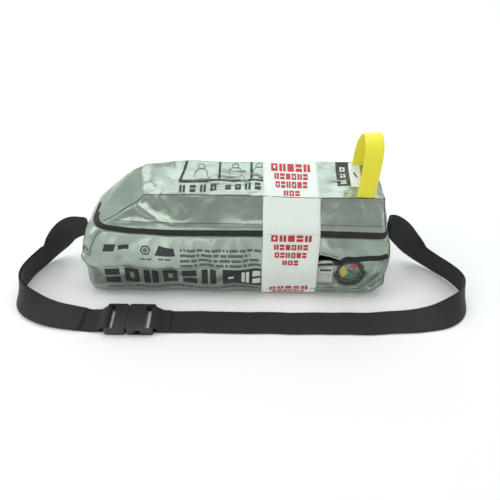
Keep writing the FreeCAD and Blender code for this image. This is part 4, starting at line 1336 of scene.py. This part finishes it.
def makePullLoop():
    a, b = low("pull_loop"), high("pull_loop")
    centreX = (a.x + b.x) / 2
    base = onTop(centreX, a.y + 2 * mm, 0)[2]
    tail = onTop(centreX, b.y - 1 * mm, 0)[2]
    top = b.z - 1.0 * mm
    front, back = a.y + 1.0 * mm, b.y - 1.0 * mm
    path = [(front, base - 3 * mm), (front - 0.4 * mm, base + 8 * mm), (front - 1.0 * mm, base + 34 * mm),
            (front - 0.2 * mm, top - 30 * mm),
            (front + 4 * mm, top - 13 * mm), (front + 12 * mm, top - 3.4 * mm), (front + 25 * mm, top),
            (front + 38 * mm, top - 4.6 * mm),
            (front + 50 * mm, top - 18 * mm), (back - 4 * mm, top - 36 * mm), (back - 0.6 * mm, tail + 20 * mm),
            (back, tail + 5 * mm), (back - 0.5 * mm, tail - 3 * mm)]
    line = smoothLine([(0, y, z) for y, z in path], 2.5 * mm)
    centres, across, normals = [], [], []
    for i, p in enumerate(line):
        run = unit(line[min(i + 1, len(line) - 1)] - line[max(i - 1, 0)])
        share = (p[2] - base) / (top - base)
        turn = math.radians(loop["twist"] * share)
        side = np.array([math.cos(turn), math.sin(turn), 0])
        side = unit(side - run * np.dot(side, run))
        centres.append(np.array([centreX + 1.0 * mm * share, p[1], p[2]]))
        across.append(side)
        normals.append(np.cross(run, side))
    obj = sweep("pullLoop", centres, across, normals, tapeRing(loop["width"], loop["thickness"]))
    finishPiece(obj, finishes["yellow_webbing"], "lid", "yellow_webbing", "pull_loop")
    lap = [np.array([centreX + (t - 0.5) * loop["width"] * 0.96, a.y + 0.8 * mm - 1.25 * mm,
                     base + 19 * mm + 11 * mm * t]) for t in np.linspace(0, 1, 12)]
    seam = stitches("loopSeam", lap, 2.0 * mm, 0.2, 0.3 * mm)
    finishPiece(seam, plainFinish("loopThread", (0.42, 0.33, 0.02), 0.6, grain=0.3 * mm, depth=0.05 * mm), "lid",
                "yellow_webbing")


makePullLoop()
print("pull loop done")


# gauge dial print and record card print
wallLean = math.atan2(22, 88)
outward = np.array([0, -math.cos(wallLean), math.sin(wallLean)])
upward = np.array([0, math.sin(wallLean), math.cos(wallLean)])
dialCentre = np.array([gauge["x"], bellyY + 0.0055, gauge["z"]]) - outward * (gauge["dialDepth"] - 0.12 * mm)


def sector(name, start, end, inner, outer, lift, material, crown=0.0, slotName="gauge_face"):
    count = max(3, int(abs(end - start) / 6))
    verts = []
    for k in range(count + 1):
        angle = math.radians(start + (end - start) * k / count)
        arm = np.array([1, 0, 0]) * math.cos(angle) + upward * math.sin(angle)
        for r, rise in ((inner, 0), ((inner + outer) / 2, crown), (outer, 0)):
            verts.append(dialCentre + outward * (lift + rise) + arm * r)
    obj = addObject(name, verts, gridFaces(count + 1, 3))
    finishPiece(obj, material, "bag", slotName)
    return obj


dialYellow = plainFinish("dialYellow", (0.92, 0.82, 0.01), 0.45, grain=0.4 * mm, depth=0.01 * mm, wear=0.05)
dialGreen = plainFinish("dialGreen", (0.06, 0.30, 0.13), 0.45, grain=0.4 * mm, depth=0.01 * mm, wear=0.05)
dialRed = plainFinish("dialRed", (0.72, 0.04, 0.03), 0.45, grain=0.4 * mm, depth=0.01 * mm, wear=0.05)
sector("dialYellowBand", 135, 238, 2 * mm, gauge["scaleOuter"], 0.0, dialYellow)
sector("dialGreenBand", 238, 372, 2 * mm, gauge["scaleOuter"], 0.0, dialGreen)
sector("dialRedBand", 22, 82, 7 * mm, gauge["scaleOuter"], 0.0, dialRed)
sector("dialRim", 0, 360, 14.8 * mm, gauge["rimOuter"], 0.3 * mm, finishes["black_rubber"])
# the guard's soft lip, rolled over the rim of the case
sector("guardLip", 0, 360, gauge["lipInner"], gauge["lipOuter"], gauge["lipLift"], finishes["black_rubber"],
       gauge["lipCrown"], "black_rubber")
ticks = []
for k in range(11):
    angle = 238 - 29.6 * k
    arm = np.array([1, 0, 0]) * math.cos(math.radians(angle)) + upward * math.sin(math.radians(angle))
    ticks.append(tube("tick", [dialCentre + outward * 0.12 * mm + arm * 12.6 * mm,
                               dialCentre + outward * 0.12 * mm + arm * 14.4 * mm], 0.25 * mm, 4))
finishPiece(joined("dialTicks", ticks), inkBlack, "bag", "gauge_face")


def onCard(x, z):
    a, b = low("record_card"), high("record_card")
    lean = (b.z - a.z) * math.tan(wallLean)
    y = a.y + (z - a.z) / (b.z - a.z) * lean
    return np.array([x, y - 0.15 * mm, z])


cardMarks = [block(119, 60.5, 130, 61.3), block(119, 57.5, 142, 58.1), block(119, 54.5, 136, 55.1),
             block(119, 44, 142, 44.5),
             block(119, 41, 142, 41.5), block(119, 38, 142, 38.5), block(119, 35, 142, 35.5),
             block(119, 32, 142, 32.5)]
finishPiece(printed("cardLines", cardMarks, onCard), inkGrey, "bag", "card")
finishPiece(printed("cardBar", [block(125, 48.5, 142, 52)], onCard), inkBlack, "bag", "card")
print("gauge and card done")


# inside the bag: flap, strips, hood pack, cylinder strap, foam
slope = dict(front=(-50 * mm, 112 * mm), top=(-14 * mm, 150 * mm), left=-126 * mm, right=205 * mm)


def slopeSheet(name, alongLow, alongHigh, depth, thickness, left, right, material, body, slotName, replaced):
    y0, z0 = slope["front"]
    y1, z1 = slope["top"]
    length = math.hypot(y1 - y0, z1 - z0)
    along = np.array([0, (y1 - y0) / length, (z1 - z0) / length])
    inward = np.array([0, along[2], -along[1]])
    rows, cols = 8, 70
    grid = np.zeros((rows, cols, 3))
    for i in range(rows):
        s = alongLow + (alongHigh - alongLow) * i / (rows - 1)
        for j in range(cols):
            x = left + (right - left) * j / (cols - 1)
            p = np.array([x, y0, z0]) + along * s + inward * depth
            grid[i, j] = p + inward * abs(wobble(p, 30 * mm, 1.0 * mm))
    obj = thicken(gridObject(name, grid), thickness, 0)
    finishPiece(obj, material, body, slotName, replaced)
    return obj


slopeSheet("closureFlap", -8 * mm, 24 * mm, 10.5 * mm, 1.4 * mm, slope["left"], slope["right"],
           finishes["coated_fabric"], "bag", "coated_fabric", "closure_flap")
slopeSheet("loopStrip", 10 * mm, 23 * mm, 8.6 * mm, 0.8 * mm, slope["left"] + 6 * mm, slope["right"] - 6 * mm,
           finishes["hook_and_loop"], "bag", "hook_and_loop", "loop_strip")
slopeSheet("hookStrip", 10 * mm, 23 * mm, 6.6 * mm, 0.8 * mm, slope["left"] + 6 * mm, slope["right"] - 6 * mm,
           finishes["hook_and_loop"], "lid", "hook_and_loop", "hook_strip")


def softCopy(name, node, voxel, pressure, cap, material, slotName, frames=16):
    source = nodes[node]
    obj = bpy.data.objects.new(name, source.data.copy())
    scene.collection.objects.link(obj)
    remesh = obj.modifiers.new("remesh", "REMESH")
    remesh.mode = "VOXEL"
    remesh.voxel_size = voxel
    remesh.use_smooth_shade = True
    applyModifiers(obj)
    smooth = obj.modifiers.new("smooth", "SMOOTH")
    smooth.iterations = 3
    applyModifiers(obj)
    settleCloth(obj, np.zeros(len(obj.data.vertices)), -0.02, pressure, cap, frames, 15, 1.0)
    subdivide = obj.modifiers.new("subdivide", "SUBSURF")
    subdivide.levels = 1
    applyModifiers(obj)
    obj.data.polygons.foreach_set("use_smooth", [True] * len(obj.data.polygons))
    finishPiece(obj, material, "bag", slotName, node)
    return obj


hoodPack = softCopy("hoodPack", "hood_fabric", 4.5 * mm, 1.5, 3 * mm, finishes["orange_hood"], "orange_hood")
foamSaddles = softCopy("foamSaddles", "cylinder_saddles", 3.5 * mm, 0.2, 0.5 * mm, finishes["foam"], "foam", 4)


def makeVisor():
    a, b = low("hood_visor"), high("hood_visor")
    rows, cols = 16, 24
    grid = np.zeros((rows, cols, 3))
    for i in range(rows):
        for j in range(cols):
            u, v = j / (cols - 1), i / (rows - 1)
            x, y = a.x + (b.x - a.x) * u, a.y + (b.y - a.y) * v
            grid[i, j] = (x, y, a.z + 0.6 * mm + 1.2 * mm * math.sin(math.pi * v) * math.sin(math.pi * u))
    obj = thicken(gridObject("hoodVisor", grid), 0.5 * mm, 0)
    finishPiece(obj, finishes["clear_window"], "bag", "clear_window", "hood_visor")


def makeCylinderStrap():
    a, b = low("cylinder_strap"), high("cylinder_strap")
    centre = np.array([(a.x + b.x) / 2, (a.y + b.y) / 2, (a.z + b.z) / 2])
    radius = (b.z - a.z) / 2 - 0.8 * mm
    centres, across, normals = [], [], []
    for k in range(73):
        angle = math.radians(5 * k)
        arm = np.array([0, math.cos(angle), math.sin(angle)])
        centres.append(centre + arm * radius)
        across.append(np.array([1, 0, 0]))
        normals.append(arm)
    obj = sweep("cylinderStrap", centres, across, normals, tapeRing(b.x - a.x, 1.5 * mm), capped=False)
    finishPiece(obj, finishes["black_webbing"], "bag", "black_webbing", "cylinder_strap")


def makeBaseBoard():
    a, b = low("base_board"), high("base_board")
    inset = 6 * mm
    outline = roundedRing([(a.x + inset, a.y + inset), (b.x - 3 * inset, a.y + inset),
                           (b.x - 2 * inset, b.y - inset), (a.x + inset, b.y - inset)],
                          (18 * mm, 24 * mm, 20 * mm, 20 * mm))
    rings = []
    for share, z in ((0.0, a.z), (0.97, a.z), (1.0, a.z + 0.5 * mm), (1.0, b.z - 0.5 * mm), (0.97, b.z), (0.0, b.z)):
        rings.append([(x * max(share, 0.02), y * max(share, 0.02), z) for x, y in outline])
    obj = gridObject("baseBoard", np.array(rings), closeCols=True)
    finishPiece(obj, finishes["board"], "bag", "board", "base_board")


makeBaseBoard()
makeVisor()
makeCylinderStrap()
print("inside done")

thicken(bagWall, bag["cloth"], -1.0)
thicken(lidShell, bag["cloth"], -1.0)
bagWallPieces = ("front_panel", "back_panel", "base_panel", "left_end_panel", "right_end_panel")
finishPiece(bagWall, finishes["coated_fabric"], "bag", "coated_fabric", *bagWallPieces)
finishPiece(lidShell, finishes["coated_fabric"], "lid", "coated_fabric", "lid_top_panel", "lid_front_skirt",
            "lid_right_end")
print("shells finished")
